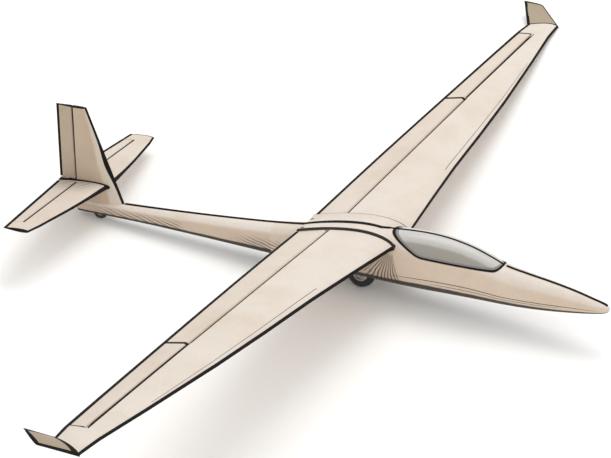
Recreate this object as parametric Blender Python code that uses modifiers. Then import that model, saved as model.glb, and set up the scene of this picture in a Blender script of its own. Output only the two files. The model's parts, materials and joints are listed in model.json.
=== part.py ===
"""Single-seat 15 m sailplane with winglets, parked on its wheels with the left wing down.

Everything is modelled in the level flying attitude first: nose towards -Y, left wing
towards +X, up +Z, and y = 0 near the middle of the wing root. One empty, "parked",
carries all of it and holds the attitude in which the aircraft rests on its main wheel,
its tail wheel and the left wing-tip skid.
"""
import math

import bmesh
import bpy
from mathutils import Euler, Matrix, Vector

for old in list(bpy.data.objects):
    bpy.data.objects.remove(old, do_unlink=True)

# Driving dimensions, metres.
NOSE_Y = -3.335
POD_END_Y = 1.00
BOOM_END_Y = 3.715
WALL = 0.022
GLASS = 0.006
TOUCH = 0.0003
GAP = 0.006
SHARP_DEG = 35.0

# Fuselage stations: y, top z, bottom z, half width, squareness of the upper half.
FUSELAGE = (
    (-3.335, -0.060, -0.110, 0.024, 2.00),
    (-3.320, -0.046, -0.126, 0.040, 2.00),
    (-3.280, -0.026, -0.144, 0.062, 2.00),
    (-3.150, 0.010, -0.167, 0.098, 2.10),
    (-2.900, 0.077, -0.197, 0.140, 2.15),
    (-2.600, 0.139, -0.223, 0.176, 2.20),
    (-2.300, 0.191, -0.236, 0.205, 2.20),
    (-2.030, 0.246, -0.236, 0.230, 2.20),
    (-1.850, 0.322, -0.232, 0.246, 2.15),
    (-1.600, 0.412, -0.227, 0.264, 2.10),
    (-1.300, 0.476, -0.223, 0.282, 2.10),
    (-1.000, 0.498, -0.220, 0.292, 2.15),
    (-0.600, 0.482, -0.208, 0.290, 2.40),
    (-0.350, 0.459, -0.197, 0.280, 3.00),
    (-0.100, 0.432, -0.185, 0.262, 3.40),
    (0.500, 0.350, -0.150, 0.212, 3.00),
    (0.800, 0.312, -0.131, 0.186, 2.60),
    (1.200, 0.276, -0.110, 0.160, 2.20),
    (2.000, 0.226, -0.065, 0.124, 2.10),
    (2.800, 0.190, -0.026, 0.096, 2.10),
    (3.715, 0.163, -0.004, 0.072, 2.10),
)
BELLY_SQUARENESS = 2.25

# Distances behind the nose tip at which its rounding is drawn.
NOSE_STEPS = (0.0, 0.007, 0.023, 0.050, 0.100, 0.185, 0.305)

# The open cockpit runs between these two y. Ahead of it the nose is a closed cone, and
# behind it the centre section carries the wings and the main wheel.
CAVITY = (-2.760, -0.575)

# Wing stations: leading edge x, y, z, trailing edge x, y, z, thickness over chord.
WING = (
    (0.277, -0.671, 0.340, 0.277, 0.599, 0.340, 0.150),
    (1.260, -0.573, 0.384, 1.260, 0.574, 0.391, 0.148),
    (2.210, -0.486, 0.426, 2.210, 0.546, 0.440, 0.146),
    (3.370, -0.410, 0.477, 3.370, 0.503, 0.501, 0.143),
    (4.465, -0.325, 0.526, 4.465, 0.459, 0.558, 0.140),
    (5.889, -0.180, 0.589, 5.889, 0.402, 0.631, 0.135),
    (6.800, -0.078, 0.630, 6.760, 0.362, 0.677, 0.130),
    (7.233, -0.057, 0.649, 7.024, 0.330, 0.690, 0.125),
)
WING_CAMBER = 0.034
WINGLET_TOP = ((7.500, 0.271, 0.830), (7.363, 0.503, 0.912))
WINGLET_THICKNESS = 0.10

# Hinge lines on the wing: inner x, inner y, outer x, outer y.
FLAP = (0.290, 0.232, 4.203, 0.200)
AILERON = (4.213, 0.200, 6.700, 0.178)

# Tailplane stations: x, leading edge y, trailing edge y.
TAILPLANE = (
    (0.000, 3.262, 3.977),
    (0.900, 3.372, 3.914),
    (1.500, 3.462, 3.872),
    (1.712, 3.510, 3.857),
)
TAIL_Z = 0.385
TAIL_THICKNESS = 0.11
ELEVATOR_HINGE_Y = 3.735
ELEVATOR_X = (0.105, 1.500)

# Fin: the outline of fin and rudder together, as z, leading edge y, trailing edge y.
FIN = (
    (0.080, 3.040, 3.960),
    (0.400, 3.172, 3.976),
    (0.900, 3.382, 3.992),
    (1.387, 3.584, 4.006),
)
FIN_THICKNESS = 0.115
RUDDER_FOOT_Z = 0.420
RUDDER_HINGE = ((0.0, 3.772, 0.420), (0.0, 3.808, 1.387))
RUDDER_FOOT_GAP = 0.012

# The fin's foot sweeps up behind the boom's end, below this side-view line of y, z.
TAIL_SWEEP = ((3.715, -0.1), (4.2, -0.1), (4.2, 0.30), (3.975, 0.30), (3.715, 0.02))

# Torque tube that joins the elevator halves through the fin: radius, radius of its hole.
TORQUE_TUBE = (0.008, 0.0135)

# Main wheel and tail wheel: centre y, centre z, tyre radius, tyre width, rim radius.
MAIN_WHEEL = (-0.150, -0.180, 0.180, 0.125, 0.095)
TAIL_WHEEL = (3.420, 0.030, 0.100, 0.050, 0.055)

# Canopy edge in side view: y, z, corner radius.
CANOPY_EDGE = (
    (-2.055, 0.300, 0.0),
    (-1.962, 0.205, 0.055),
    (-1.470, 0.235, 0.0),
    (-0.985, 0.262, 0.070),
    (-0.535, 0.495, 0.0),
    (-0.535, 0.700, 0.0),
    (-2.055, 0.700, 0.0),
)
CANOPY_HINGE = (0.0, -2.033, 0.252)
CANOPY_SPAN = (-2.12, -0.50)
CANOPY_GAP = 0.0055
FRAME_WIDTH = 0.045

collection = bpy.data.collections.new("sailplane")
bpy.context.scene.collection.children.link(collection)
cutters = bpy.data.collections.new("cutters")
bpy.context.scene.collection.children.link(cutters)

parked = bpy.data.objects.new("parked", None)
collection.objects.link(parked)

# Material finishes: name, colour, roughness, metallic.
FINISHES = {
    "gelcoat": ((0.83, 0.77, 0.69), 0.35, 0.0),
    "glass": ((0.40, 0.41, 0.40), 0.08, 0.0),
    "rubber": ((0.03, 0.03, 0.03), 0.85, 0.0),
    "alloy": ((0.62, 0.62, 0.62), 0.35, 1.0),
    "steel": ((0.30, 0.30, 0.31), 0.40, 1.0),
    "fabric": ((0.32, 0.28, 0.24), 0.95, 0.0),
    "trim": ((0.16, 0.16, 0.16), 0.70, 0.0),
}


def finish(name, key):
    """One Principled material for each sub-part, in one of the shared finishes."""
    colour, roughness, metallic = FINISHES[key]
    material = bpy.data.materials.new(name)
    material.use_nodes = True
    shader = material.node_tree.nodes["Principled BSDF"]
    shader.inputs["Base Color"].default_value = (*colour, 1.0)
    shader.inputs["Roughness"].default_value = roughness
    shader.inputs["Metallic"].default_value = metallic
    return material


def place(name, mesh, key, origin=(0.0, 0.0, 0.0)):
    """Link a mesh as a named sub-part whose origin sits at the given point."""
    mesh.transform(Matrix.Translation(-Vector(origin)))
    mesh.shade_smooth()
    mesh.set_sharp_from_angle(angle=math.radians(SHARP_DEG))
    part = bpy.data.objects.new(name, mesh)
    part.data.materials.clear()
    part.data.materials.append(finish(name, key))
    collection.objects.link(part)
    part.parent = parked
    part.location = origin
    return part


def hidden(mesh, name="cutter"):
    """Link a mesh as a cutter, drawn as wires and left out of the model."""
    cutter = bpy.data.objects.new(name, mesh)
    cutters.objects.link(cutter)
    cutter.hide_render = True
    cutter.display_type = "WIRE"
    return cutter


def cut(mesh, *steps):
    """Apply Boolean steps, each an operation and a tool mesh, and return the new mesh."""
    body = hidden(mesh, "body")
    tools = []
    for operation, tool in steps:
        tools.append(hidden(tool))
        modifier = body.modifiers.new(operation.lower(), "BOOLEAN")
        modifier.operation = operation
        modifier.object = tools[-1]
        modifier.solver = "EXACT"
    graph = bpy.context.evaluated_depsgraph_get()
    result = bpy.data.meshes.new_from_object(body.evaluated_get(graph))
    for item in [body] + tools:
        bpy.data.objects.remove(item, do_unlink=True)
    return result


def finished(sheet):
    """Turn a bmesh into a mesh with its faces pointing outwards."""
    bmesh.ops.recalc_face_normals(sheet, faces=sheet.faces)
    mesh = bpy.data.meshes.new("shape")
    sheet.to_mesh(mesh)
    sheet.free()
    return mesh


def loft(rings):
    """Join closed rings of equal count into one solid and close both ends."""
    sheet = bmesh.new()
    rows = [[sheet.verts.new(point) for point in ring] for ring in rings]
    count = len(rows[0])
    for near, far in zip(rows, rows[1:]):
        for i in range(count):
            j = (i + 1) % count
            sheet.faces.new((near[i], near[j], far[j], far[i]))
    sheet.faces.new(rows[0])
    sheet.faces.new(rows[-1])
    return finished(sheet)


def block(low, high):
    """A box between two corners."""
    sheet = bmesh.new()
    bmesh.ops.create_cube(sheet, size=1.0)
    size = [b - a for a, b in zip(low, high)]
    middle = [(a + b) / 2 for a, b in zip(low, high)]
    bmesh.ops.scale(sheet, vec=size, verts=sheet.verts)
    bmesh.ops.translate(sheet, vec=middle, verts=sheet.verts)
    return finished(sheet)


def rod(start, end, radius, sides=20):
    """A plain round bar between two points."""
    start, end = Vector(start), Vector(end)
    along = end - start
    turn = along.to_track_quat("Z", "Y").to_matrix().to_4x4()
    sheet = bmesh.new()
    bmesh.ops.create_cone(
        sheet, cap_ends=True, segments=sides, radius1=radius, radius2=radius, depth=along.length,
        matrix=Matrix.Translation((start + end) / 2) @ turn)
    return finished(sheet)


def side_plate(outline, low_x, high_x):
    """A side-view outline of y, z points, extruded from low_x to high_x."""
    sheet = bmesh.new()
    face = sheet.faces.new([sheet.verts.new((low_x, y, z)) for y, z in outline])
    grown = bmesh.ops.extrude_face_region(sheet, geom=[face])
    moved = [item for item in grown["geom"] if isinstance(item, bmesh.types.BMVert)]
    bmesh.ops.translate(sheet, vec=(high_x - low_x, 0.0, 0.0), verts=moved)
    return finished(sheet)


def turned(name, key, profile, centre, steps=36):
    """A closed profile of radius, x points turned about the wheel axle through centre."""
    sheet = bmesh.new()
    ring = [sheet.verts.new((radius, 0.0, x)) for radius, x in profile]
    for i, vert in enumerate(ring):
        sheet.edges.new((vert, ring[(i + 1) % len(ring)]))
    mesh = bpy.data.meshes.new(name)
    sheet.to_mesh(mesh)
    sheet.free()
    body = hidden(mesh, "turned")
    screw = body.modifiers.new("turn", "SCREW")
    screw.angle = math.tau
    screw.steps = steps
    screw.render_steps = steps
    screw.use_merge_vertices = True
    screw.merge_threshold = 0.0001
    graph = bpy.context.evaluated_depsgraph_get()
    solid = bpy.data.meshes.new_from_object(body.evaluated_get(graph))
    bpy.data.objects.remove(body, do_unlink=True)
    sheet = bmesh.new()
    sheet.from_mesh(solid)
    bmesh.ops.rotate(sheet, verts=sheet.verts, matrix=Matrix.Rotation(math.pi / 2, 3, "Y"))
    bmesh.ops.translate(sheet, verts=sheet.verts, vec=centre)
    return place(name, finished(sheet), key, origin=centre)


def between(table, key, column):
    """Read a column of a station table at a station, on straight lines."""
    for low, high in zip(table, table[1:]):
        if key <= high[0]:
            share = (key - low[0]) / (high[0] - low[0])
            return low[column] + share * (high[column] - low[column])
    return table[-1][column]


# Fuselage.

def smooth(table, key, column):
    """Read a column at a station on a smooth curve through the stations."""
    last = len(table) - 1
    i = max(0, min(last - 1, sum(1 for row in table[1:] if row[0] < key)))
    before = table[max(i - 1, 0)]
    low = table[i]
    high = table[i + 1]
    after = table[min(i + 2, last)]
    span = high[0] - low[0]
    share = (key - low[0]) / span
    rise = high[column] - low[column]
    start = (high[column] - before[column]) / (high[0] - before[0]) * span
    end = (after[column] - low[column]) / (after[0] - low[0]) * span
    cube = start + end - 2 * rise
    square = 3 * rise - 2 * start - end
    return low[column] + share * (start + share * (square + share * cube))


def fuselage_ring(y, inset=0.0, points=40):
    """The rounded cross-section of the fuselage at y, inset from its surface."""
    top = smooth(FUSELAGE, y, 1) - inset
    bottom = smooth(FUSELAGE, y, 2) + inset
    half = smooth(FUSELAGE, y, 3) - inset
    middle = (top + bottom) / 2
    shoulder = smooth(FUSELAGE, y, 4)
    ring = []
    for i in range(points):
        angle = math.tau * i / points
        power = 2.0 / (shoulder if i <= points / 2 else BELLY_SQUARENESS)
        side = math.copysign(abs(math.cos(angle)) ** power, math.cos(angle))
        rise = math.copysign(abs(math.sin(angle)) ** power, math.sin(angle))
        ring.append((half * side, y, middle + (top - bottom) / 2 * rise))
    return ring


def fuselage_loft(start, end, steps, inset=0.0, points=40):
    """A stretch of the fuselage between two stations."""
    stations = [start + (end - start) * i / steps for i in range(steps + 1)]
    return loft([fuselage_ring(y, inset, points) for y in stations])


def nose_loft(end, steps):
    """The fuselage from the nose tip back, with stations closer together at the tip."""
    stations = [NOSE_Y + distance for distance in NOSE_STEPS]
    start = stations[-1]
    stations += [start + (end - start) * i / steps for i in range(1, steps + 1)]
    return loft([fuselage_ring(y) for y in stations])


# Wing and tail sections.

def thickness_at(share):
    """Half thickness of a foil of unit chord and unit thickness ratio."""
    root = 0.2969 * math.sqrt(share)
    return 5.0 * (root - 0.1260 * share - 0.3516 * share ** 2 + 0.2843 * share ** 3 - 0.1036 * share ** 4)


def camber_at(share, camber):
    """Height of the mean line of a foil of unit chord, highest at 0.4 chord."""
    peak = 0.4
    if share < peak:
        return camber / peak ** 2 * (2 * peak * share - share ** 2)
    return camber / (1 - peak) ** 2 * (1 - 2 * peak + 2 * peak * share - share ** 2)


CHORD_STEPS = 13
EDGE = 0.0015


def foil_ring(front, back, up, ratio, camber, grow=0.0):
    """A closed foil section from a leading to a trailing edge point, thick along up."""
    front, back, up = Vector(front), Vector(back), Vector(up).normalized()
    chord = (back - front).length
    shares = [(1 - math.cos(math.pi * i / CHORD_STEPS)) / 2 for i in range(CHORD_STEPS + 1)]
    ring = []
    for share in shares:
        half = ratio * thickness_at(share) * chord + EDGE * share + grow
        rise = camber_at(share, camber) * chord + half
        ring.append(front + (back - front) * share + up * rise)
    for share in reversed(shares[1:]):
        half = ratio * thickness_at(share) * chord + EDGE * share + grow
        rise = camber_at(share, camber) * chord - half
        ring.append(front + (back - front) * share + up * rise)
    return ring


def mirrored(points, side):
    """The same points on the left (1) or on the right (-1)."""
    return [(side * p[0], p[1], p[2]) for p in points]


UP = Vector((0.0, 0.0, 1.0))


def tip_up():
    """Thickness direction where wing and winglet meet, half way between the two."""
    row = WING[-1]
    front, back = Vector(row[0:3]), Vector(row[3:6])
    rise = Vector(WINGLET_TOP[0]) - front
    normal = rise.cross(back - front).normalized()
    if normal.z < 0:
        normal = -normal
    return (normal + UP).normalized(), normal


def wing_loft(side, grow=0.0):
    """One wing panel from the root rib to the winglet joint."""
    fold, _ = tip_up()
    rings = []
    for row in WING:
        up = fold if row is WING[-1] else UP
        rings.append(mirrored(foil_ring(row[0:3], row[3:6], up, row[6], WING_CAMBER, grow), side))
    return loft(rings)


def wing_point(x, y):
    """Mean-line height and half thickness of the wing at x, y, and its trailing edge y, z."""
    front_y = between(WING, x, 1)
    back_y = between(WING, x, 4)
    front_z = between(WING, x, 2)
    back_z = between(WING, x, 5)
    ratio = between(WING, x, 6)
    chord = back_y - front_y
    share = (y - front_y) / chord
    middle = front_z + (back_z - front_z) * share + camber_at(share, WING_CAMBER) * chord
    return middle, ratio * thickness_at(share) * chord + EDGE * share, back_y, back_z


def surface_ring(x, hinge_y, middle, half, back_y, back_z, steps=6):
    """A control surface section: a round nose about the hinge and two flat flanks."""
    ring = []
    for i in range(steps + 1):
        angle = math.pi / 2 + math.pi * i / steps
        ring.append((x, hinge_y + half * math.cos(angle), middle + half * math.sin(angle)))
    ring.append((x, back_y, back_z - EDGE))
    ring.append((x, back_y, back_z + EDGE))
    return ring


def wing_surface(hinge, side, stations=5):
    """A flap or an aileron as a loft, with its hinge line's two ends."""
    inner_x, inner_y, outer_x, outer_y = hinge
    rings = []
    ends = []
    for i in range(stations + 1):
        share = i / stations
        x = inner_x + (outer_x - inner_x) * share
        y = inner_y + (outer_y - inner_y) * share
        middle, half, back_y, back_z = wing_point(x, y)
        rings.append(mirrored(surface_ring(x, y, middle, half, back_y, back_z), side))
        ends.append(Vector((side * x, y, middle)))
    return loft(rings), ends[0], ends[-1]


def wing_cutter(hinge, side, nose):
    """The room that a flap or an aileron needs, GAP clear of its nose and ends."""
    inner_x, inner_y, outer_x, outer_y = hinge
    inner_x -= GAP
    outer_x += GAP
    sheet = bmesh.new()
    outline = (
        (inner_x, inner_y - nose - GAP), (outer_x, outer_y - nose - GAP),
        (outer_x, 1.0), (inner_x, 1.0))
    face = sheet.faces.new([sheet.verts.new((side * x, y, 0.0)) for x, y in outline])
    grown = bmesh.ops.extrude_face_region(sheet, geom=[face])
    moved = [item for item in grown["geom"] if isinstance(item, bmesh.types.BMVert)]
    bmesh.ops.translate(sheet, vec=(0.0, 0.0, 1.5), verts=moved)
    return finished(sheet)


# Front fuselage: closed nose cone, open cockpit shell bonded from a left and a right
# half, and a centre section. The wing's root fairings are moulded on.

def rounded(outline, steps=4):
    """An outline of y, z, radius points with each marked corner rounded by an arc."""
    points = []
    for i, (y, z, radius) in enumerate(outline):
        here = Vector((y, z))
        if radius == 0.0:
            points.append((y, z))
            continue
        before = (Vector(outline[i - 1][0:2]) - here).normalized()
        after = (Vector(outline[(i + 1) % len(outline)][0:2]) - here).normalized()
        start = here + before * radius
        end = here + after * radius
        for k in range(steps + 1):
            share = k / steps
            blend = start * (1 - share) ** 2 + here * 2 * share * (1 - share) + end * share ** 2
            points.append((blend.x, blend.y))
    return points


def inward(outline, distance):
    """The canopy edge moved into the canopy by a distance, for the glass and the gaps."""
    moved = []
    for i, (y, z, radius) in enumerate(outline):
        here = Vector((y, z))
        before = (here - Vector(outline[i - 1][0:2])).normalized()
        after = (Vector(outline[(i + 1) % len(outline)][0:2]) - here).normalized()
        normal = Vector((-before.y, before.x)) + Vector((-after.y, after.x))
        normal = normal / max(normal.length, 0.2)
        scale = distance / max(abs(normal.dot(Vector((-after.y, after.x)))), 0.5)
        point = here + normal * scale
        moved.append((point.x, point.y, radius))
    return moved


def edge_cutter(distance):
    """The canopy's side-view shape as a wide block, inset by a distance."""
    return side_plate(rounded(inward(CANOPY_EDGE, distance)), -0.6, 0.6)


stub_front, stub_back = WING[0][0:3], WING[0][3:6]
root_half = WING[0][0] - TOUCH / 2
stub = loft([
    foil_ring((x, *stub_front[1:]), (x, *stub_back[1:]), UP, WING[0][6], WING_CAMBER)
    for x in (-root_half, root_half)])

wheel_y, wheel_z, wheel_radius, wheel_width, rim_radius = MAIN_WHEEL
WELL_HALF = 0.098
WELL_REACH = 0.225
WELL_TOP = 0.070
well = block((-WELL_HALF, wheel_y - WELL_REACH, -0.5), (WELL_HALF, wheel_y + WELL_REACH, WELL_TOP))
HOOK = ((-0.025, -0.840, -0.232), (0.025, -0.690, -0.204))
hook_pocket = block([v - TOUCH for v in HOOK[0]], [v + TOUCH for v in HOOK[1]])
skin = cut(nose_loft(POD_END_Y, 24), ("UNION", stub))
seam = TOUCH / 2


def zone(low_x, high_x, low_y, high_y):
    """A tall box over a part of the plan view, to take a piece out of the fuselage."""
    return block((low_x, low_y, -1.0), (high_x, high_y, 1.0))


place("nose_cone", cut(skin.copy(), ("INTERSECT", zone(-1.0, 1.0, -4.0, CAVITY[0] - seam))), "gelcoat")
for side, word in ((1, "left"), (-1, "right")):
    ends = sorted((side * seam, side * 1.0))
    shell = cut(
        skin.copy(),
        ("INTERSECT", zone(*ends, CAVITY[0] + seam, CAVITY[1] - seam)),
        ("DIFFERENCE", fuselage_loft(CAVITY[0] - WALL, CAVITY[1] + WALL, 12, WALL, 32)),
        ("DIFFERENCE", edge_cutter(0.0)),
        ("DIFFERENCE", hook_pocket.copy()),
    )
    place("cockpit_shell_" + word, shell, "gelcoat")
centre_section = cut(
    skin,
    ("INTERSECT", zone(-1.0, 1.0, CAVITY[1] + seam, 2.0)),
    ("DIFFERENCE", edge_cutter(0.0)),
    ("DIFFERENCE", well),
)
place("centre_section", centre_section, "gelcoat")

# Canopy: a frame that carries the glass, hinged on the deck ahead of it.
frame_mesh = cut(
    fuselage_loft(*CANOPY_SPAN, 16),
    ("INTERSECT", edge_cutter(CANOPY_GAP)),
    ("DIFFERENCE", fuselage_loft(*CANOPY_SPAN, 12, WALL, 32)),
    ("DIFFERENCE", edge_cutter(FRAME_WIDTH)),
)
place("canopy_frame", frame_mesh, "gelcoat", origin=CANOPY_HINGE)
glass_mesh = cut(
    fuselage_loft(*CANOPY_SPAN, 16),
    ("INTERSECT", edge_cutter(FRAME_WIDTH + TOUCH)),
    ("DIFFERENCE", fuselage_loft(*CANOPY_SPAN, 16, GLASS)),
)
place("canopy_glass", glass_mesh, "glass", origin=CANOPY_HINGE)

# Tail boom, with a narrow well for the tail wheel.
tail_y, tail_z, tail_radius, tail_width, tail_rim = TAIL_WHEEL
TAIL_WELL_HALF = 0.034
TAIL_WELL_REACH = 0.120
TAIL_WELL_TOP = 0.138
tail_well = block(
    (-TAIL_WELL_HALF, tail_y - TAIL_WELL_REACH, -0.3),
    (TAIL_WELL_HALF, tail_y + TAIL_WELL_REACH, TAIL_WELL_TOP))
boom = cut(
    fuselage_loft(POD_END_Y + TOUCH, BOOM_END_Y, 12, 0.0, 32),
    ("DIFFERENCE", tail_well),
)
place("tail_boom", boom, "gelcoat")

# Fin and rudder share one foil. The fin keeps the tail's lower end behind the boom.


def fin_row(z):
    """Leading and trailing edge y of the fin and rudder outline at height z."""
    return between(FIN, z, 1), between(FIN, z, 2)


def fin_loft(grow=0.0):
    """The whole fin and rudder as one solid."""
    sideways = Vector((1.0, 0.0, 0.0))
    rings = []
    for z, front_y, back_y in FIN:
        rings.append(foil_ring((0, front_y, z), (0, back_y, z), sideways, FIN_THICKNESS, 0.0, grow))
    return loft(rings)


hinge_low, hinge_high = Vector(RUDDER_HINGE[0]), Vector(RUDDER_HINGE[1])


def rudder_half(z):
    """Hinge y, the rudder's half thickness there and its trailing edge y, at height z."""
    front_y, back_y = fin_row(z)
    share = (z - hinge_low.z) / (hinge_high.z - hinge_low.z)
    hinge_y = hinge_low.y + share * (hinge_high.y - hinge_low.y)
    chord = back_y - front_y
    along = (hinge_y - front_y) / chord
    return hinge_y, FIN_THICKNESS * thickness_at(along) * chord + EDGE * along, back_y


def rudder_loft():
    """The rudder: round nose about its hinge, flat flanks to the trailing edge."""
    rings = []
    for z in (RUDDER_FOOT_Z, FIN[2][0], FIN[3][0]):
        hinge_y, half, back_y = rudder_half(z)
        ring = []
        for _, y, rise in surface_ring(0.0, hinge_y, 0.0, half, back_y, 0.0):
            ring.append((rise, y, z))
        rings.append(ring)
    return loft(rings)


low_nose = rudder_half(RUDDER_FOOT_Z)
high_nose = rudder_half(FIN[3][0])
rudder_room = side_plate((
    (low_nose[0] - low_nose[1] - GAP, RUDDER_FOOT_Z - RUDDER_FOOT_GAP),
    (4.2, RUDDER_FOOT_Z - RUDDER_FOOT_GAP),
    (4.2, 1.6),
    (high_nose[0] - high_nose[1] - GAP, 1.6)), -0.2, 0.2)


def tube_bore():
    """The hole in which the elevator's torque tube turns."""
    return rod((-0.3, ELEVATOR_HINGE_Y, TAIL_Z), (0.3, ELEVATOR_HINGE_Y, TAIL_Z), TORQUE_TUBE[1])


fin = cut(
    fin_loft(),
    ("DIFFERENCE", fuselage_loft(2.5, BOOM_END_Y + TOUCH, 6, -TOUCH, 32)),
    ("DIFFERENCE", side_plate(TAIL_SWEEP, -0.2, 0.2)),
    ("DIFFERENCE", rudder_room),
    ("DIFFERENCE", tube_bore()),
)
place("fin", fin, "gelcoat")
place("rudder", rudder_loft(), "gelcoat", origin=RUDDER_HINGE[0])

# Tailplane halves, bolted to the fin, and the elevator halves on their torque tube.


def tail_ring(x, side):
    """Tailplane section at x."""
    front_y = between(TAILPLANE, x, 1)
    back_y = between(TAILPLANE, x, 2)
    ring = foil_ring((x, front_y, TAIL_Z), (x, back_y, TAIL_Z), UP, TAIL_THICKNESS, 0.0)
    return mirrored(ring, side)


def elevator_half(x):
    """Half thickness of the tailplane at the elevator hinge, and the trailing edge y."""
    front_y = between(TAILPLANE, x, 1)
    back_y = between(TAILPLANE, x, 2)
    chord = back_y - front_y
    share = (ELEVATOR_HINGE_Y - front_y) / chord
    return TAIL_THICKNESS * thickness_at(share) * chord + EDGE * share, back_y


elevator_nose = elevator_half(ELEVATOR_X[0])[0]
for side, word in ((1, "left"), (-1, "right")):
    stations = [TOUCH / 2] + [row[0] for row in TAILPLANE[1:]]
    ends = sorted((side * (ELEVATOR_X[0] - GAP), side * (ELEVATOR_X[1] + GAP)))
    room = block((ends[0], ELEVATOR_HINGE_Y - elevator_nose - GAP, 0.2), (ends[1], 4.2, 0.6))
    half_tail = cut(
        loft([tail_ring(x, side) for x in stations]),
        ("DIFFERENCE", fin_loft(TOUCH)),
        ("DIFFERENCE", room),
        ("DIFFERENCE", tube_bore()),
    )
    place("tailplane_" + word, half_tail, "gelcoat")
    rings = []
    for x in (ELEVATOR_X[0], TAILPLANE[1][0], ELEVATOR_X[1]):
        half, back_y = elevator_half(x)
        ring = surface_ring(x, ELEVATOR_HINGE_Y, TAIL_Z, half, back_y, TAIL_Z)
        rings.append(mirrored(ring, side))
    place("elevator_" + word, loft(rings), "gelcoat", origin=(0.0, ELEVATOR_HINGE_Y, TAIL_Z))
tube_reach = ELEVATOR_X[0] - TOUCH
place(
    "elevator_torque_tube",
    rod((-tube_reach, ELEVATOR_HINGE_Y, TAIL_Z), (tube_reach, ELEVATOR_HINGE_Y, TAIL_Z), TORQUE_TUBE[0]),
    "steel", origin=(0.0, ELEVATOR_HINGE_Y, TAIL_Z))

# Wings, winglets, flaps, ailerons and tip skids.
fold_up, winglet_up = tip_up()
tip_front, tip_back = Vector(WING[-1][0:3]), Vector(WING[-1][3:6])
SKID = ((6.905, -0.010, 0.606), (6.935, 0.150, 0.656))
for side, word in ((1, "left"), (-1, "right")):
    flap_mesh, flap_inner, flap_outer = wing_surface(FLAP, side)
    aileron_mesh, aileron_inner, aileron_outer = wing_surface(AILERON, side, 4)
    flap_nose = wing_point(FLAP[0], FLAP[1])[1]
    aileron_nose = wing_point(AILERON[0], AILERON[1])[1]
    wing = cut(
        wing_loft(side),
        ("DIFFERENCE", wing_cutter(FLAP, side, flap_nose)),
        ("DIFFERENCE", wing_cutter(AILERON, side, aileron_nose)),
    )
    place("wing_" + word, wing, "gelcoat")
    place("flap_" + word, flap_mesh, "gelcoat", origin=flap_inner)
    place("aileron_" + word, aileron_mesh, "gelcoat", origin=aileron_inner)
    outward = Vector((TOUCH, 0.0, 0.0))
    foot = foil_ring(tip_front + outward, tip_back + outward, fold_up, WING[-1][6], WING_CAMBER)
    top = foil_ring(*WINGLET_TOP, winglet_up, WINGLET_THICKNESS, 0.0)
    place("winglet_" + word, loft([mirrored(foot, side), mirrored(top, side)]), "gelcoat")
    low = (side * SKID[0][0], SKID[0][1], SKID[0][2])
    high = (side * SKID[1][0], SKID[1][1], SKID[1][2])
    skid = cut(
        block([min(a, b) for a, b in zip(low, high)], [max(a, b) for a, b in zip(low, high)]),
        ("DIFFERENCE", wing_loft(side, TOUCH)),
    )
    place("tip_skid_" + word, skid, "rubber")


# Wheels: a tyre on a rim, turning on an axle.

BEAD_TURN = 0.62
BEAD_WIDTH = 0.62
TYRE_STEPS = 12
RIM_HALF = 0.33
WEB_HALF = 0.14
HUB_OVER_AXLE = 2.2
LIP_SHARE = 0.86
BORE_GAP = 0.0008


def tyre_profile(radius, width, rim):
    """Rounded tyre section, from its top bead over the crown to its bottom bead."""
    half = width / 2
    height = (radius - rim) / 2
    centre = rim + height
    profile = []
    for i in range(TYRE_STEPS + 1):
        angle = math.pi * BEAD_TURN * (1 - 2 * i / TYRE_STEPS)
        profile.append((centre + height * math.cos(angle), half * math.sin(angle)))
    bead = half * BEAD_WIDTH
    profile.append((rim, -bead))
    profile.append((rim, bead))
    return profile


def wheel(name, centre, radius, width, rim, axle):
    """Tyre and rim about the axle through centre."""
    turned(name + "_tyre", "rubber", tyre_profile(radius, width, rim + TOUCH), centre)
    half = width * RIM_HALF
    web = width * WEB_HALF
    hub = axle * HUB_OVER_AXLE
    lip = rim * LIP_SHARE
    bore = axle + BORE_GAP
    turned(name + "_rim", "alloy", (
        (rim, half), (rim, -half), (lip, -half), (lip, -web), (hub, -web), (hub, -half),
        (bore, -half), (bore, half), (hub, half), (hub, web), (lip, web), (lip, half)), centre)


AXLE = 0.014
TAIL_AXLE = 0.007
wheel("main", (0.0, wheel_y, wheel_z), wheel_radius, wheel_width, rim_radius, AXLE)
wheel("tail", (0.0, tail_y, tail_z), tail_radius, tail_width, tail_rim, TAIL_AXLE)

# Main gear: two legs from the well's roof down to the axle that passes through them.
LEG_X = (0.074, 0.086)
LEG_FOOT = 0.030
LEG_DROP = 0.034
LEG_CORNER = 0.020
LEG_HEAD = (-0.060, 0.110)
AXLE_REACH = 0.092
leg_outline = rounded((
    (wheel_y + LEG_HEAD[0], WELL_TOP - TOUCH, 0.0),
    (wheel_y - LEG_FOOT, wheel_z - LEG_DROP, LEG_CORNER),
    (wheel_y + LEG_FOOT, wheel_z - LEG_DROP, LEG_CORNER),
    (wheel_y + LEG_HEAD[1], WELL_TOP - TOUCH, 0.0)))
for side, word in ((1, "left"), (-1, "right")):
    ends = sorted((side * LEG_X[0], side * LEG_X[1]))
    bore = rod((-0.2, wheel_y, wheel_z), (0.2, wheel_y, wheel_z), AXLE + TOUCH)
    leg = cut(side_plate(leg_outline, *ends), ("DIFFERENCE", bore))
    place("main_gear_leg_" + word, leg, "steel")
place("main_axle", rod((-AXLE_REACH, wheel_y, wheel_z), (AXLE_REACH, wheel_y, wheel_z), AXLE), "steel")
tail_reach = TAIL_WELL_HALF - TOUCH
place("tail_axle", rod((-tail_reach, tail_y, tail_z), (tail_reach, tail_y, tail_z), TAIL_AXLE), "steel")

# Belly tow hook in its pocket.
place("tow_hook", block(*HOOK), "steel")

# Cockpit furniture, fitted to the inside of the shell.


def trimmed(mesh):
    """A mesh trimmed to the inside of the cockpit shell."""
    room = fuselage_loft(CAVITY[0] + TOUCH, CAVITY[1] - TOUCH, 12, WALL + TOUCH, 32)
    return cut(mesh, ("INTERSECT", room))


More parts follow.
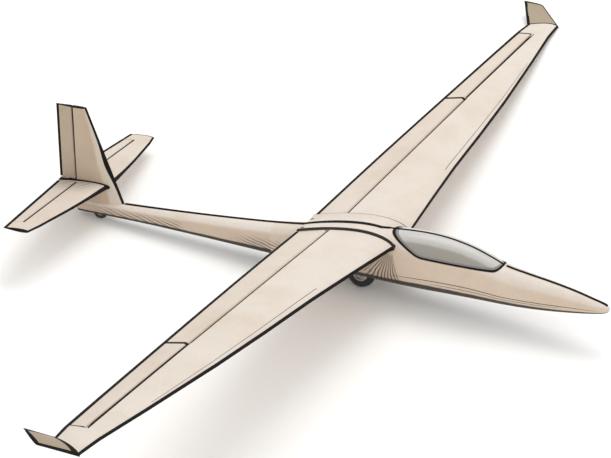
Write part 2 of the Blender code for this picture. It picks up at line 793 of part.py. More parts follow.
def fitted(low, high):
    """A block trimmed to the inside of the cockpit shell."""
    return trimmed(block(low, high))


def strip(line, thickness):
    """A side-view line of y, z points given a thickness, as a closed outline."""
    upper = []
    lower = []
    for i, point in enumerate(line):
        here = Vector(point)
        before = (here - Vector(line[i - 1])).normalized() if i else None
        after = (Vector(line[i + 1]) - here).normalized() if i + 1 < len(line) else None
        along = ((before or after) + (after or before)).normalized()
        normal = Vector((-along.y, along.x)) * thickness / 2
        upper.append(tuple(here + normal))
        lower.append(tuple(here - normal))
    return upper + lower[::-1]


# Seat, in side view as lines of y, z through the middle of each thickness.
SEAT_LINE = (
    (-1.420, -0.105), (-1.330, -0.135), (-1.180, -0.155), (-1.080, -0.140), (-1.010, -0.080),
    (-0.760, 0.230))
CUSHION_LINE = ((-1.390, -0.078), (-1.325, -0.103), (-1.180, -0.122), (-1.100, -0.112))
BACK_LINE = ((-1.040, -0.062), (-0.980, 0.008), (-0.790, 0.244))
SEAT_HALF = 0.195
CUSHION_HALF = 0.145
BACK_HALF = 0.175
PAN_THICKNESS = 0.012
PAD_THICKNESS = 0.040
seat_pan = trimmed(side_plate(strip(SEAT_LINE, PAN_THICKNESS), -SEAT_HALF, SEAT_HALF))
place("seat_pan", seat_pan, "gelcoat")
for name, line, half in (
        ("seat_cushion", CUSHION_LINE, CUSHION_HALF),
        ("back_cushion", BACK_LINE, BACK_HALF)):
    place(name, side_plate(strip(line, PAD_THICKNESS), -half, half), "fabric")

# Side consoles and rudder pedals: from, to, as x outwards, y, z, before they are trimmed.
CONSOLE = ((SEAT_HALF + TOUCH, -1.62, -0.30), (0.400, -0.80, 0.030))
PEDAL = ((0.060, -2.420, -0.400), (0.140, -2.395, -0.030))
for side, word in ((1, "left"), (-1, "right")):
    for name, (near, far), key in (("side_console_", CONSOLE, "trim"), ("rudder_pedal_", PEDAL, "alloy")):
        ends = sorted((side * near[0], side * far[0]))
        place(name + word, fitted((ends[0], *near[1:]), (ends[1], *far[1:])), key)
HEADREST = ((-0.090, -0.650, 0.270), (0.090, CAVITY[1] - TOUCH, 0.390))
place("headrest", block(*HEADREST), "fabric")

# Instrument panel on its pedestal. The panel's outline is x, z, corner radius.
PEDESTAL_TOP = -0.020
PANEL_Y = (-1.850, -1.760)
place("panel_pedestal", fitted((-0.055, -1.86, -0.4), (0.055, -1.74, PEDESTAL_TOP)), "trim")
panel_outline = rounded((
    (-0.165, 0.060, 0.0), (-0.120, PEDESTAL_TOP + TOUCH, 0.0), (0.120, PEDESTAL_TOP + TOUCH, 0.0),
    (0.165, 0.060, 0.0), (0.165, 0.170, 0.060), (0.100, 0.255, 0.050), (-0.100, 0.255, 0.050),
    (-0.165, 0.170, 0.060)))
panel = side_plate(panel_outline, *PANEL_Y)
panel.transform(Matrix(((0, 1, 0, 0), (1, 0, 0, 0), (0, 0, 1, 0), (0, 0, 0, 1))))
panel.flip_normals()
place("instrument_panel", panel, "trim")

# Control stick: a shaft from the floor and a thicker grip on it.
STICK = ((0.0, -1.500, -0.300), (0.0, -1.455, 0.020), 0.011)
GRIP = ((0.0, -1.460, -0.012), (0.0, -1.445, 0.095), 0.018)
stick = cut(rod(*STICK, 16), ("UNION", rod(*GRIP, 16)))
place("control_stick", trimmed(stick), "trim")

# Parked attitude: main wheel, tail wheel and left tip skid all touch the ground.


def level_points(name):
    """The corner points of a sub-part in the level attitude."""
    part = bpy.data.objects[name]
    return [part.location + vert.co for vert in part.data.vertices]


def lowest(points, turn):
    """Height of the lowest point once the aircraft is turned."""
    return min((turn @ point).z for point in points)


main_points = level_points("main_tyre")
tail_points = level_points("tail_tyre")
skid_points = level_points("tip_skid_left")
pitch = 0.0
roll = 0.0
for _ in range(30):
    turn = Euler((pitch, roll, 0.0)).to_matrix()
    ground = lowest(main_points, turn)
    pitch -= (lowest(tail_points, turn) - ground) / (tail_y - wheel_y)
    roll += (lowest(skid_points, turn) - ground) / SKID[1][0]
parked.rotation_euler = (pitch, roll, 0.0)
turn = Euler((pitch, roll, 0.0)).to_matrix()

# Origin on the ground, under the middle of the aircraft's box.
placed = [turn @ point for part in collection.objects if part.type == "MESH"
          for point in level_points(part.name)]
middle_x = (min(p.x for p in placed) + max(p.x for p in placed)) / 2
middle_y = (min(p.y for p in placed) + max(p.y for p in placed)) / 2
parked.location = (-middle_x, -middle_y, -min(p.z for p in placed))
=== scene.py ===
import json
import math

import bmesh
import bpy
from mathutils import Matrix, Vector


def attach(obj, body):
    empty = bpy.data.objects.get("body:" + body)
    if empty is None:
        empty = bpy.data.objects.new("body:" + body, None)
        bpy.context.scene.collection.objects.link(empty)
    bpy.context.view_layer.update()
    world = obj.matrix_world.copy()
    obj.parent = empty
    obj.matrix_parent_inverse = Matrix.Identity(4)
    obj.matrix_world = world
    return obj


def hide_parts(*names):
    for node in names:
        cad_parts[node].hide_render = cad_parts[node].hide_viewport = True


# A single-seat 15 m sailplane, parked on its two wheels with its left wing tip down.
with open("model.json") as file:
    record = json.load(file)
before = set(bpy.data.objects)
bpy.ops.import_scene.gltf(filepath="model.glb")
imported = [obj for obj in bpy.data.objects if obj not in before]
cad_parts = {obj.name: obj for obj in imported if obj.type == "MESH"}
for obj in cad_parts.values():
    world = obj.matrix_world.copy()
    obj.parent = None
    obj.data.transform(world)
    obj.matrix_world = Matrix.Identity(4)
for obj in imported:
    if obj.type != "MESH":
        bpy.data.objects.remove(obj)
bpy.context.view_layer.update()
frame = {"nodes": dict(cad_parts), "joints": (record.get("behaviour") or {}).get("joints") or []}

# Parked attitude. The aircraft is drawn level, nose towards -Y and left wing towards +X,
# and every piece is then turned into the attitude it rests in: the two wheel hubs are the
# same two points in both, and the main axle gives the direction across.
joints = {joint["name"]: joint for joint in frame["joints"]}
MAIN_HUB = Vector((0.0, -0.150, -0.180))
TAIL_HUB = Vector((0.0, 3.420, 0.030))
main_spin = joints["main_wheel_spin"]
across = Vector(main_spin["axis"]).normalized()
hub_line = Vector(joints["tail_wheel_spin"]["pos_m"]) - Vector(main_spin["pos_m"])
hub_line.normalize()
square = across.cross(hub_line)
rise = math.atan2(TAIL_HUB.z - MAIN_HUB.z, TAIL_HUB.y - MAIN_HUB.y)
aft = hub_line * math.cos(rise) - square * math.sin(rise)
upward = hub_line * math.sin(rise) + square * math.cos(rise)
PARKED = Matrix((across, aft, upward)).transposed().to_4x4()
PARKED.translation = Vector(main_spin["pos_m"]) - PARKED.to_3x3() @ MAIN_HUB

# Camera. It stands where the picture's viewer hangs: ahead and to the right of the
# aircraft, looking down on it, on a long lens.
VIEW_AZIMUTH = math.radians(-66.127)
VIEW_HEIGHT = math.radians(22.981)
VIEW_ROLL = math.radians(0.097)
VIEW_PLACE = Vector((-33.9645, -14.4330, 16.0192))
LENS = 194.17
SENSOR = 36.0
camera_data = bpy.data.cameras.new("camera")
camera_data.lens = LENS
camera_data.sensor_width = SENSOR
camera_data.clip_end = 400.0
camera = bpy.data.objects.new("camera", camera_data)
bpy.context.scene.collection.objects.link(camera)
camera_turn = (
    Matrix.Rotation(VIEW_AZIMUTH, 4, "Z")
    @ Matrix.Rotation(math.pi / 2 - VIEW_HEIGHT, 4, "X")
    @ Matrix.Rotation(VIEW_ROLL, 4, "Z"))
camera.matrix_world = PARKED @ Matrix.Translation(VIEW_PLACE) @ camera_turn
bpy.context.scene.camera = camera

# Studio. A near-white floor, a white room and one broad lamp high on the aircraft's left,
# so that the flanks turned to the camera fall into soft shade.
FLOOR_REACH = 120.0
floor_sheet = bmesh.new()
bmesh.ops.create_grid(floor_sheet, x_segments=1, y_segments=1, size=FLOOR_REACH)
floor_mesh = bpy.data.meshes.new("studio_floor")
floor_sheet.to_mesh(floor_mesh)
floor_sheet.free()
floor = bpy.data.objects.new("studio_floor", floor_mesh)
bpy.context.scene.collection.objects.link(floor)
floor_paint = bpy.data.materials.new("pale_floor")
floor_paint.use_nodes = True
floor_shader = floor_paint.node_tree.nodes["Principled BSDF"]
floor_shader.inputs["Base Color"].default_value = (0.97, 0.97, 0.965, 1.0)
floor_shader.inputs["Roughness"].default_value = 0.9
floor_mesh.materials.append(floor_paint)

world = bpy.data.worlds.new("white_room")
bpy.context.scene.world = world
world.use_nodes = True
world.node_tree.nodes["Background"].inputs["Color"].default_value = (1.0, 0.994, 0.982, 1.0)
world.node_tree.nodes["Background"].inputs["Strength"].default_value = 0.90
bpy.context.scene.view_settings.view_transform = "Standard"

for lamp_name, lamp_place, lamp_size, watts in (
        ("high_left_lamp", (12.0, 2.5, 24.0), 18.0, 2450.0),
        ("front_fill", (-8.0, -20.0, 14.0), 14.0, 500.0)):
    lamp_data = bpy.data.lights.new(lamp_name, "AREA")
    lamp_data.shape = "DISK"
    lamp_data.size = lamp_size
    lamp_data.energy = watts
    lamp = bpy.data.objects.new(lamp_name, lamp_data)
    bpy.context.scene.collection.objects.link(lamp)
    lamp.location = lamp_place
    lamp.rotation_euler = (-Vector(lamp_place)).to_track_quat("-Z", "Y").to_euler()

# Front fuselage. One glass-fibre shell, moulded in halves and sprayed with cream gelcoat:
# nose, cockpit walls and the fairings that the wings bolt against. The cockpit is open
# above, and the wheel stands in a well below.
STATIONS = (
    # y, top z, bottom z, half width, squareness of the upper half
    (-3.335, -0.060, -0.110, 0.024, 2.00),
    (-3.320, -0.046, -0.126, 0.040, 2.00),
    (-3.280, -0.026, -0.144, 0.062, 2.00),
    (-3.150, 0.010, -0.167, 0.098, 2.10),
    (-2.900, 0.077, -0.197, 0.140, 2.15),
    (-2.600, 0.139, -0.223, 0.176, 2.20),
    (-2.300, 0.191, -0.236, 0.205, 2.20),
    (-2.030, 0.246, -0.236, 0.230, 2.20),
    (-1.850, 0.322, -0.232, 0.246, 2.15),
    (-1.600, 0.412, -0.227, 0.264, 2.10),
    (-1.300, 0.476, -0.223, 0.282, 2.10),
    (-1.000, 0.498, -0.220, 0.292, 2.15),
    (-0.600, 0.482, -0.208, 0.290, 2.40),
    (-0.350, 0.459, -0.197, 0.280, 3.00),
    (-0.100, 0.432, -0.185, 0.262, 3.40),
    (0.500, 0.350, -0.150, 0.212, 3.00),
    (0.800, 0.312, -0.131, 0.186, 2.60),
    (1.200, 0.276, -0.110, 0.160, 2.20),
    (2.000, 0.226, -0.065, 0.124, 2.10),
    (2.800, 0.190, -0.026, 0.096, 2.10),
    (3.715, 0.163, -0.004, 0.072, 2.10),
)
BELLY_SQUARENESS = 2.25
POD_END = 1.000
BOOM_END = 3.715
WALL = 0.022
JOINT = 0.0003


def faired(key, column):
    """A column of the fuselage stations at y, on a smooth curve through them."""
    last = len(STATIONS) - 1
    i = max(0, min(last - 1, sum(1 for row in STATIONS[1:] if row[0] < key)))
    before, low = STATIONS[max(i - 1, 0)], STATIONS[i]
    high, after = STATIONS[i + 1], STATIONS[min(i + 2, last)]
    span = high[0] - low[0]
    share = (key - low[0]) / span
    climb = high[column] - low[column]
    start = (high[column] - before[column]) / (high[0] - before[0]) * span
    end = (after[column] - low[column]) / (after[0] - low[0]) * span
    cube = start + end - 2 * climb
    square_term = 3 * climb - 2 * start - end
    return low[column] + share * (start + share * (square_term + share * cube))


def hull_point(y, angle, inset=0.0):
    """The point of the fuselage outline at y, at an angle up from the left side."""
    top = faired(y, 1) - inset
    bottom = faired(y, 2) + inset
    half = faired(y, 3) - inset
    power = 2.0 / (faired(y, 4) if math.sin(angle) >= 0 else BELLY_SQUARENESS)
    side = math.copysign(abs(math.cos(angle)) ** power, math.cos(angle))
    lift = math.copysign(abs(math.sin(angle)) ** power, math.sin(angle))
    return Vector((half * side, y, (top + bottom) / 2 + (top - bottom) / 2 * lift))


def frame_rib(y, inset=0.0, points=96):
    """The rounded outline of the fuselage at y, inset from its skin."""
    return [hull_point(y, math.tau * i / points, inset) for i in range(points)]


def skinned(ribs):
    """A skin bridged over ribs of equal count and closed at both ends."""
    sheet = bmesh.new()
    loops = []
    for rib in ribs:
        row = [sheet.verts.new(point) for point in rib]
        loops.append([sheet.edges.new(pair) for pair in zip(row, row[1:] + row[:1])])
    for near, far in zip(loops, loops[1:]):
        bmesh.ops.bridge_loops(sheet, edges=near + far)
    for end in (loops[0], loops[-1]):
        bmesh.ops.contextual_create(sheet, geom=end)
    bmesh.ops.recalc_face_normals(sheet, faces=sheet.faces)
    return mesh_of(sheet)


def mesh_of(sheet):
    """Turn a bmesh into a mesh and free it."""
    mesh = bpy.data.meshes.new("shape")
    sheet.to_mesh(mesh)
    sheet.free()
    return mesh


def joined(meshes):
    """Several loose meshes gathered in one."""
    sheet = bmesh.new()
    for mesh in meshes:
        sheet.from_mesh(mesh)
    return mesh_of(sheet)


def carve(mesh, *steps):
    """Cut, join or trim a mesh with tool meshes in turn, and return the new mesh."""
    items = [bpy.data.objects.new("blank", mesh)]
    bpy.context.scene.collection.objects.link(items[0])
    for operation, tool in steps:
        cutter = bpy.data.objects.new("cutter", tool)
        bpy.context.scene.collection.objects.link(cutter)
        items.append(cutter)
        step = items[0].modifiers.new("step", "BOOLEAN")
        step.operation = operation
        step.object = cutter
        step.solver = "EXACT"
    graph = bpy.context.evaluated_depsgraph_get()
    carved = bpy.data.meshes.new_from_object(items[0].evaluated_get(graph))
    for item in items:
        bpy.data.objects.remove(item, do_unlink=True)
    return carved


def fit(name, mesh, materials, body, slot, *nodes, sharp=32.0, zone=None):
    """Park a finished mesh, give it its materials and let it ride on its body.

    The zone, where there is one, says which material a face takes from its centre
    and its normal, both in the level attitude."""
    mesh.materials.clear()
    for material in materials:
        mesh.materials.append(material)
    if zone:
        for face in mesh.polygons:
            face.material_index = zone(face.center, face.normal)
    mesh.transform(PARKED)
    mesh.shade_smooth()
    mesh.set_sharp_from_angle(angle=math.radians(sharp))
    piece = bpy.data.objects.new(name, mesh)
    bpy.context.scene.collection.objects.link(piece)
    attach(piece, body)
    if nodes:
        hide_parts(*nodes)
    return piece


def brick(low, high, bevel=0.0):
    """A box between two corners, its edges rounded off where a bevel is given."""
    sheet = bmesh.new()
    bmesh.ops.create_cube(sheet, size=1.0)
    bmesh.ops.scale(sheet, vec=[b - a for a, b in zip(low, high)], verts=sheet.verts)
    bmesh.ops.translate(sheet, vec=[(a + b) / 2 for a, b in zip(low, high)], verts=sheet.verts)
    if bevel:
        bmesh.ops.bevel(sheet, geom=sheet.edges[:], offset=bevel, affect="EDGES", segments=3,
                        profile=0.5, material=-1)
    return mesh_of(sheet)


def side_plate(outline, low_x, high_x):
    """A side-view outline of y, z points, extruded across the aircraft."""
    sheet = bmesh.new()
    face = sheet.faces.new([sheet.verts.new((low_x, y, z)) for y, z in outline])
    grown = bmesh.ops.extrude_face_region(sheet, geom=[face])
    moved = [item for item in grown["geom"] if isinstance(item, bmesh.types.BMVert)]
    bmesh.ops.translate(sheet, vec=(high_x - low_x, 0.0, 0.0), verts=moved)
    bmesh.ops.recalc_face_normals(sheet, faces=sheet.faces)
    return mesh_of(sheet)


def spaced(start, end, count):
    """Evenly spaced stations from start to end."""
    return [start + (end - start) * i / count for i in range(count + 1)]


class Paint:
    """A Principled material with short calls for the nodes that feed it."""

    def __init__(self, name):
        self.material = bpy.data.materials.new(name)
        self.material.use_nodes = True
        self.tree = self.material.node_tree
        self.shader = self.tree.nodes["Principled BSDF"]
        self.where = self.tree.nodes.new("ShaderNodeTexCoord")
        self.level = self.tree.nodes.new("ShaderNodeMapping")
        home = PARKED.inverted()
        self.level.inputs["Location"].default_value = home.translation
        self.level.inputs["Rotation"].default_value = home.to_euler()
        self.link(self.where.outputs["Object"], self.level.inputs["Vector"])

    def link(self, source, target):
        self.tree.links.new(source, target)

    def axes(self):
        """The level aircraft's x, y and z."""
        place = self.tree.nodes.new("ShaderNodeSeparateXYZ")
        self.link(self.level.outputs["Vector"], place.inputs["Vector"])
        return place.outputs["X"], place.outputs["Y"], place.outputs["Z"]

    def lean(self):
        """How far a face looks up or down, from 1 to -1."""
        facing = self.tree.nodes.new("ShaderNodeVectorMath")
        facing.operation = "DOT_PRODUCT"
        facing.inputs[1].default_value = upward
        self.link(self.where.outputs["Normal"], facing.inputs[0])
        return facing.outputs["Value"]

    def noise(self, scale, detail=6.0, roughness=0.6):
        """A noise on the level aircraft's own coordinates."""
        node = self.tree.nodes.new("ShaderNodeTexNoise")
        node.inputs["Scale"].default_value = scale
        node.inputs["Detail"].default_value = detail
        node.inputs["Roughness"].default_value = roughness
        self.link(self.level.outputs["Vector"], node.inputs["Vector"])
        return node.outputs["Fac"]

    def ramp(self, source, low, high, start=0.0, end=1.0, smooth=False):
        """A value carried from one range to another."""
        node = self.tree.nodes.new("ShaderNodeMapRange")
        if smooth:
            node.interpolation_type = "SMOOTHSTEP"
        node.inputs["From Min"].default_value = low
        node.inputs["From Max"].default_value = high
        node.inputs["To Min"].default_value = start
        node.inputs["To Max"].default_value = end
        self.link(source, node.inputs["Value"])
        return node.outputs["Result"]

    def maths(self, operation, first, second=None):
        """A sum, product or function of one or two values."""
        node = self.tree.nodes.new("ShaderNodeMath")
        node.operation = operation
        for socket, value in zip(node.inputs, (first, second)):
            if isinstance(value, (int, float)):
                socket.default_value = value
            elif value is not None:
                self.link(value, socket)
        return node.outputs["Value"]

    def plus(self, first, second):
        return self.maths("ADD", first, second)

    def times(self, first, *others):
        """The product of several values."""
        for other in others:
            first = self.maths("MULTIPLY", first, other)
        return first

    def window(self, source, edges):
        """1 in a zone, fading in between its first two edges and out between its last two."""
        start, full, fading, end = edges
        return self.times(self.ramp(source, start, full), self.ramp(source, end, fading))

    def stroke(self, place, count, wander):
        """A wave across a place, whose crests are pencil strokes."""
        return self.maths("SINE", self.plus(self.times(place, count), wander))

    def mix(self, factor, first, second, blend="MIX"):
        """Two colours mixed by a factor."""
        node = self.tree.nodes.new("ShaderNodeMix")
        node.data_type = "RGBA"
        node.blend_type = blend
        for socket, value in ((node.inputs["Factor"], factor), (node.inputs["A"], first),
                              (node.inputs["B"], second)):
            if isinstance(value, tuple):
                socket.default_value = (*value, 1.0)
            elif isinstance(value, (int, float)):
                socket.default_value = value
            else:
                self.link(value, socket)
        return node.outputs["Result"]

    def finish(self, colour, roughness, height=None, depth=0.001, strength=0.5):
        """Connect colour, roughness and relief to the shader, and return the material."""
        self.link(colour, self.shader.inputs["Base Color"])
        self.link(roughness, self.shader.inputs["Roughness"])
        if height is not None:
            bump = self.tree.nodes.new("ShaderNodeBump")
            bump.inputs["Strength"].default_value = strength
            bump.inputs["Distance"].default_value = depth
            self.link(height, bump.inputs["Height"])
            self.link(bump.outputs["Normal"], self.shader.inputs["Normal"])
        return self.material


# Painted light and shade for the gelcoats: across SHADE's range of lean, the painted shade of the
# flanks turns into the painted light of the top.
SHADE = (0.26, 0.56)
# Painted shade colour for the skin that faces down along the keel.
KEEL_SHADE = (0.022, 0.017, 0.013)
BLOTCH, FIBRE, CLOUD = (2.2, 7.0, 0.62), (38.0, 5.0, 0.7), (0.75, 3.0, 0.5)
STAIN, WASH, FLECK = (0.86, 0.79, 0.70), (0.93, 0.885, 0.84), (0.80, 0.75, 0.68)
GELCOAT_GLOSS = 0.28


def gelcoat(name, pale, tan, keel=None, extra=None):
    """Sprayed gelcoat the colour of old paper, painted light on top and painted shade on the flanks.

    Where keel gives a range of lean, the skin below it is painted dark as painted shade. The extra
    call adds marks of its own to the colour."""
    paint = Paint(name)
    lean = paint.lean()
    blotch, fibre, cloud = paint.noise(*BLOTCH), paint.noise(*FIBRE), paint.noise(*CLOUD)
    # The lean, made uneven by noise, sets where painted shade turns into painted light.
    shade_lean = paint.plus(lean, paint.ramp(blotch, 0.3, 0.7, -0.06, 0.06))
    colour = paint.mix(paint.ramp(shade_lean, *SHADE, smooth=True), tan, pale)
    for source, low, high, most, tint in (
            (blotch, 0.44, 0.80, 0.55, STAIN),
            (cloud, 0.40, 0.70, 0.45, WASH),
            (fibre, 0.38, 0.72, 0.30, FLECK)):
        colour = paint.mix(paint.ramp(source, low, high, 0.0, most), colour, tint, "MULTIPLY")
    if extra:
        colour = extra(paint, colour)
    # Painted shade: the skin that faces down past the keel range turns nearly black.
    if keel:
        keel_lean = paint.plus(lean, paint.ramp(blotch, 0.3, 0.7, -0.03, 0.03))
        colour = paint.mix(paint.ramp(keel_lean, *keel, 0.0, 0.95, True), colour, KEEL_SHADE)
    paint.shader.inputs["Specular IOR Level"].default_value = GELCOAT_GLOSS
    return paint.finish(colour, paint.ramp(blotch, 0.0, 1.0, 0.40, 0.58), fibre, 0.002, 0.12)


# Hatch strokes of painted shade: a fan below the wing root and slanted strokes low on the boom.
HATCH_SHADE = (0.045, 0.033, 0.025)
HATCH_SHADE_WEIGHT = 0.85
FAN_ROOT = (-0.655, 0.330)
FAN_REACH = (0.05, 0.10, 0.47, 0.62)
FAN_TURN = (-0.30, -0.15, 0.75, 0.95)
FAN_STROKES = 56.0
SLANT = 0.30
SLANT_STROKES = 150.0
SLANT_ZONES = ((0.50, 0.60, 1.25, 1.60), (2.20, 2.30, 3.25, 3.60))
SLANT_TOP = (0.14, 0.06)
STROKE_WANDER = 3.2


def shade_hatching(paint, colour):
    """Thin dark strokes of painted shade: a fan below the wing root, and slanted ones low on the boom.
    """
    along, height = paint.axes()[1:]
    behind = paint.maths("SUBTRACT", along, FAN_ROOT[0])
    below = paint.maths("SUBTRACT", FAN_ROOT[1], height)
    turn = paint.maths("ARCTAN2", behind, below)
    far = paint.maths("SQRT", paint.plus(
        paint.maths("POWER", behind, 2.0), paint.maths("POWER", below, 2.0)))
    wander = paint.ramp(paint.noise(5.0, 2.0), 0.0, 1.0, -STROKE_WANDER, STROKE_WANDER)
    strokes = paint.times(
        paint.ramp(paint.stroke(turn, FAN_STROKES, wander), -0.10, 0.65, 0.18, 1.0),
        paint.window(turn, FAN_TURN), paint.window(far, FAN_REACH))
    slant = paint.maths("SUBTRACT", height, paint.times(along, SLANT))
    line = paint.ramp(paint.stroke(slant, SLANT_STROKES, wander), 0.30, 0.85, 0.08, 1.0)
    line = paint.times(line, paint.ramp(height, *SLANT_TOP))
    for zone in SLANT_ZONES:
        strokes = paint.maths("MAXIMUM", strokes, paint.times(line, paint.window(along, zone)))
    return paint.mix(paint.times(strokes, HATCH_SHADE_WEIGHT), colour, HATCH_SHADE)


def coated(name, colour, roughness, metallic=0.0, grain=60.0, depth=0.0006, spread=0.22, dust=0.12):
    """One paint, rubber or metal with a fine grain, an uneven tone and some dust."""
    paint = Paint(name)
    dusty = tuple(0.6 * c + dust for c in colour)
    paint.shader.inputs["Metallic"].default_value = metallic
    fine = paint.noise(grain, 6.0)
    patch = paint.noise(grain / 9.0, 4.0)
    dark = tuple(c * (1 - spread) for c in colour)
    light = tuple(min(1.0, c * (1 + spread)) for c in colour)
    tone = paint.mix(fine, dark, light)
    tone = paint.mix(paint.ramp(patch, 0.5, 0.85, 0.0, 0.35), tone, dusty)
    rough = paint.ramp(patch, 0.2, 0.8, max(0.05, roughness - 0.10), min(1.0, roughness + 0.10))
    return paint.finish(tone, rough, fine, depth)


# Each gelcoat has a pale colour for the painted light on top and a tan one for the painted shade on the
# flanks.
PALE = (0.705, 0.64, 0.575)
TAN = (0.61, 0.495, 0.395)
FLANK_TAN = (0.672, 0.552, 0.445)
# The fuselage: painted light on top, painted shade on the flanks and along the keel, and hatch strokes
# of painted shade below the wing root.
fuselage_cream = gelcoat("fuselage_cream", PALE, FLANK_TAN, (-0.46, -0.54), shade_hatching)
cream = gelcoat("cream_gelcoat", PALE, TAN)
well_paint = coated("well_paint", (0.20, 0.18, 0.155), 0.75, grain=40.0)
cockpit_liner = coated("cockpit_liner", (0.36, 0.35, 0.33), 0.7, grain=120.0, depth=0.0004)
ink = coated("ink_dark_tape", (0.010, 0.008, 0.007), 0.85, grain=90.0, spread=0.35, dust=0.012)
ink.node_tree.nodes["Principled BSDF"].inputs["Specular IOR Level"].default_value = 0.15


def half_thickness(share):
    """Half thickness of a foil of unit chord and unit thickness ratio."""
    return 5.0 * (0.2969 * math.sqrt(share) - 0.1260 * share - 0.3516 * share ** 2
                  + 0.2843 * share ** 3 - 0.1036 * share ** 4)


CAMBER_PEAK = 0.4


def camber_height(share, camber):
    """Height of the mean line of a foil of unit chord."""
    arch = 2 * CAMBER_PEAK * share - share ** 2
    if share < CAMBER_PEAK:
        return camber / CAMBER_PEAK ** 2 * arch
    return camber / (1 - CAMBER_PEAK) ** 2 * (1 - 2 * CAMBER_PEAK + arch)


EDGE = 0.0015
UP = Vector((0.0, 0.0, 1.0))
WING_CAMBER = 0.034
NOSE_SHARE = 0.004


def foil_half(front_y, back_y, y, ratio):
    """Half thickness of a foil at y, between its two edges."""
    share = (y - front_y) / (back_y - front_y)
    return ratio * half_thickness(share) * (back_y - front_y) + EDGE * share


def foil_rib(front, back, up, ratio, camber, grow=0.0, reach=(0.0, 1.0), steps=34):
    """A foil section between a leading and a trailing edge point, thick along up.

    It starts on the upper side at reach[1], runs round the nose and ends below."""
    front, back, up = Vector(front), Vector(back), Vector(up).normalized()
    chord = (back - front).length
    along = (back - front) / chord
    shares = [(1 - math.cos(math.pi * i / steps)) / 2 for i in range(steps + 1)]
    shares = [reach[0] + (reach[1] - reach[0]) * share for share in shares]
    rib = []
    for side, run in ((1, shares[::-1]), (-1, shares[1:])):
        for share in run:
            half = ratio * half_thickness(share) * chord + EDGE * share + grow
            lift = camber_height(share, camber) * chord + side * half
            ahead = grow if share < NOSE_SHARE else 0.0
            rib.append(front + along * (share * chord - ahead) + up * lift)
    return rib


ROOT = ((0.277, -0.671, 0.340), (0.277, 0.599, 0.340), 0.150)
CAVITY = (-2.76, -0.575)
CANOPY_EDGE = (
    # y, z, corner radius, in side view
    (-2.055, 0.300, 0.0),
    (-1.962, 0.205, 0.055),
    (-1.470, 0.235, 0.0),
    (-0.985, 0.262, 0.070),
    (-0.535, 0.495, 0.0),
    (-0.535, 0.700, 0.0),
    (-2.055, 0.700, 0.0),
)
WELL = ((-0.098, -0.375, -0.500), (0.098, 0.075, 0.070))
HOOK_POCKET = ((-0.0253, -0.8403, -0.2323), (0.0253, -0.6897, -0.2037))


def rounded(outline, steps=8):
    """An outline of y, z, radius points with each marked corner rounded."""
    points = []
    for i, (y, z, radius) in enumerate(outline):
        here = Vector((y, z))
        if radius == 0.0:
            points.append((y, z))
            continue
        before = (Vector(outline[i - 1][0:2]) - here).normalized()
        after = (Vector(outline[(i + 1) % len(outline)][0:2]) - here).normalized()
        start = here + before * radius
        end = here + after * radius
        for share in spaced(0.0, 1.0, steps):
            blend = start * (1 - share) ** 2 + here * 2 * share * (1 - share) + end * share ** 2
            points.append((blend.x, blend.y))
    return points


def inward(outline, distance):
    """The canopy edge moved into the canopy by a distance."""
    moved = []
    for i, (y, z, radius) in enumerate(outline):
        here = Vector((y, z))
        before = (here - Vector(outline[i - 1][0:2])).normalized()
        after = (Vector(outline[(i + 1) % len(outline)][0:2]) - here).normalized()
        normal = Vector((-before.y, before.x)) + Vector((-after.y, after.x))
        normal = normal / max(normal.length, 0.2)
        scale = distance / max(abs(normal.dot(Vector((-after.y, after.x)))), 0.5)
        point = here + normal * scale
        moved.append((point.x, point.y, radius))
    return moved


def canopy_block(distance):
    """The canopy's side view as a wide block, inset by a distance."""
    return side_plate(rounded(inward(CANOPY_EDGE, distance)), -0.6, 0.6)


def within(point, low, high):
    """Whether a point lies in a box, or on its walls."""
    return all(a - 0.0005 < c < b + 0.0005 for c, a, b in zip(point, low, high))


def hull_zone(centre, normal):
    """Gelcoat outside, painted laminate in the cockpit and dull paint in the wheel well."""
    if within(centre, *WELL):
        return 2
    if not CAVITY[0] - 0.0005 < centre.y < CAVITY[1] + 0.0005:
        return 0
    middle = (faired(centre.y, 1) + faired(centre.y, 2)) / 2
    return 1 if normal.x * centre.x + normal.z * (centre.z - middle) < 0.01 else 0


def cockpit_room():
    """The hollow of the cockpit, inside the fuselage walls."""
    return skinned([frame_rib(y, WALL, 64) for y in spaced(*CAVITY, 50)])


NOSE_STATIONS = [-3.335, -3.331, -3.324, -3.314, -3.300, -3.282, -3.258, -3.228, -3.190]
pod_stations = NOSE_STATIONS + spaced(-3.150, POD_END, 110)
stub_half = ROOT[0][0] - JOINT / 2
stub_ribs = [foil_rib((x, *ROOT[0][1:]), (x, *ROOT[1][1:]), UP, ROOT[2], WING_CAMBER)
             for x in (-stub_half, stub_half)]
pod_mesh = carve(
    skinned([frame_rib(y) for y in pod_stations]),
    ("UNION", skinned(stub_ribs)),
    ("DIFFERENCE", cockpit_room()),
    ("DIFFERENCE", canopy_block(0.0)),
    ("DIFFERENCE", brick(*WELL)),
    ("DIFFERENCE", brick(*HOOK_POCKET)),
)
fit("fuselage_skin", pod_mesh, [fuselage_cream, cockpit_liner, well_paint], "airframe", "gelcoat",
    "nose_cone", "cockpit_shell_left", "cockpit_shell_right", "centre_section", zone=hull_zone)

# Tail boom. The fuselage runs on as a slim tapering tube of the same laminate, with a
# slot cut in its underside for the tail wheel.
TAIL_WELL = ((-0.034, 3.300, -0.300), (0.034, 3.540, 0.138))


def boom_zone(centre, normal):
    """Dull paint inside the tail wheel's well."""
    return 1 if within(centre, *TAIL_WELL) else 0


boom_mesh = carve(
    skinned([frame_rib(y) for y in spaced(POD_END + JOINT, BOOM_END, 60)]),
    ("DIFFERENCE", brick(*TAIL_WELL)),
)
# The boom: painted light on top, painted shade on the flanks and along the keel, and strokes of painted
# shade low down.
BOOM_PALE = (0.745, 0.68, 0.615)
boom_cream = gelcoat("boom_cream", BOOM_PALE, TAN, (-0.30, -0.40), shade_hatching)
fit("boom_skin", boom_mesh, [boom_cream, well_paint], "airframe", "gelcoat", "tail_boom",
    zone=boom_zone)

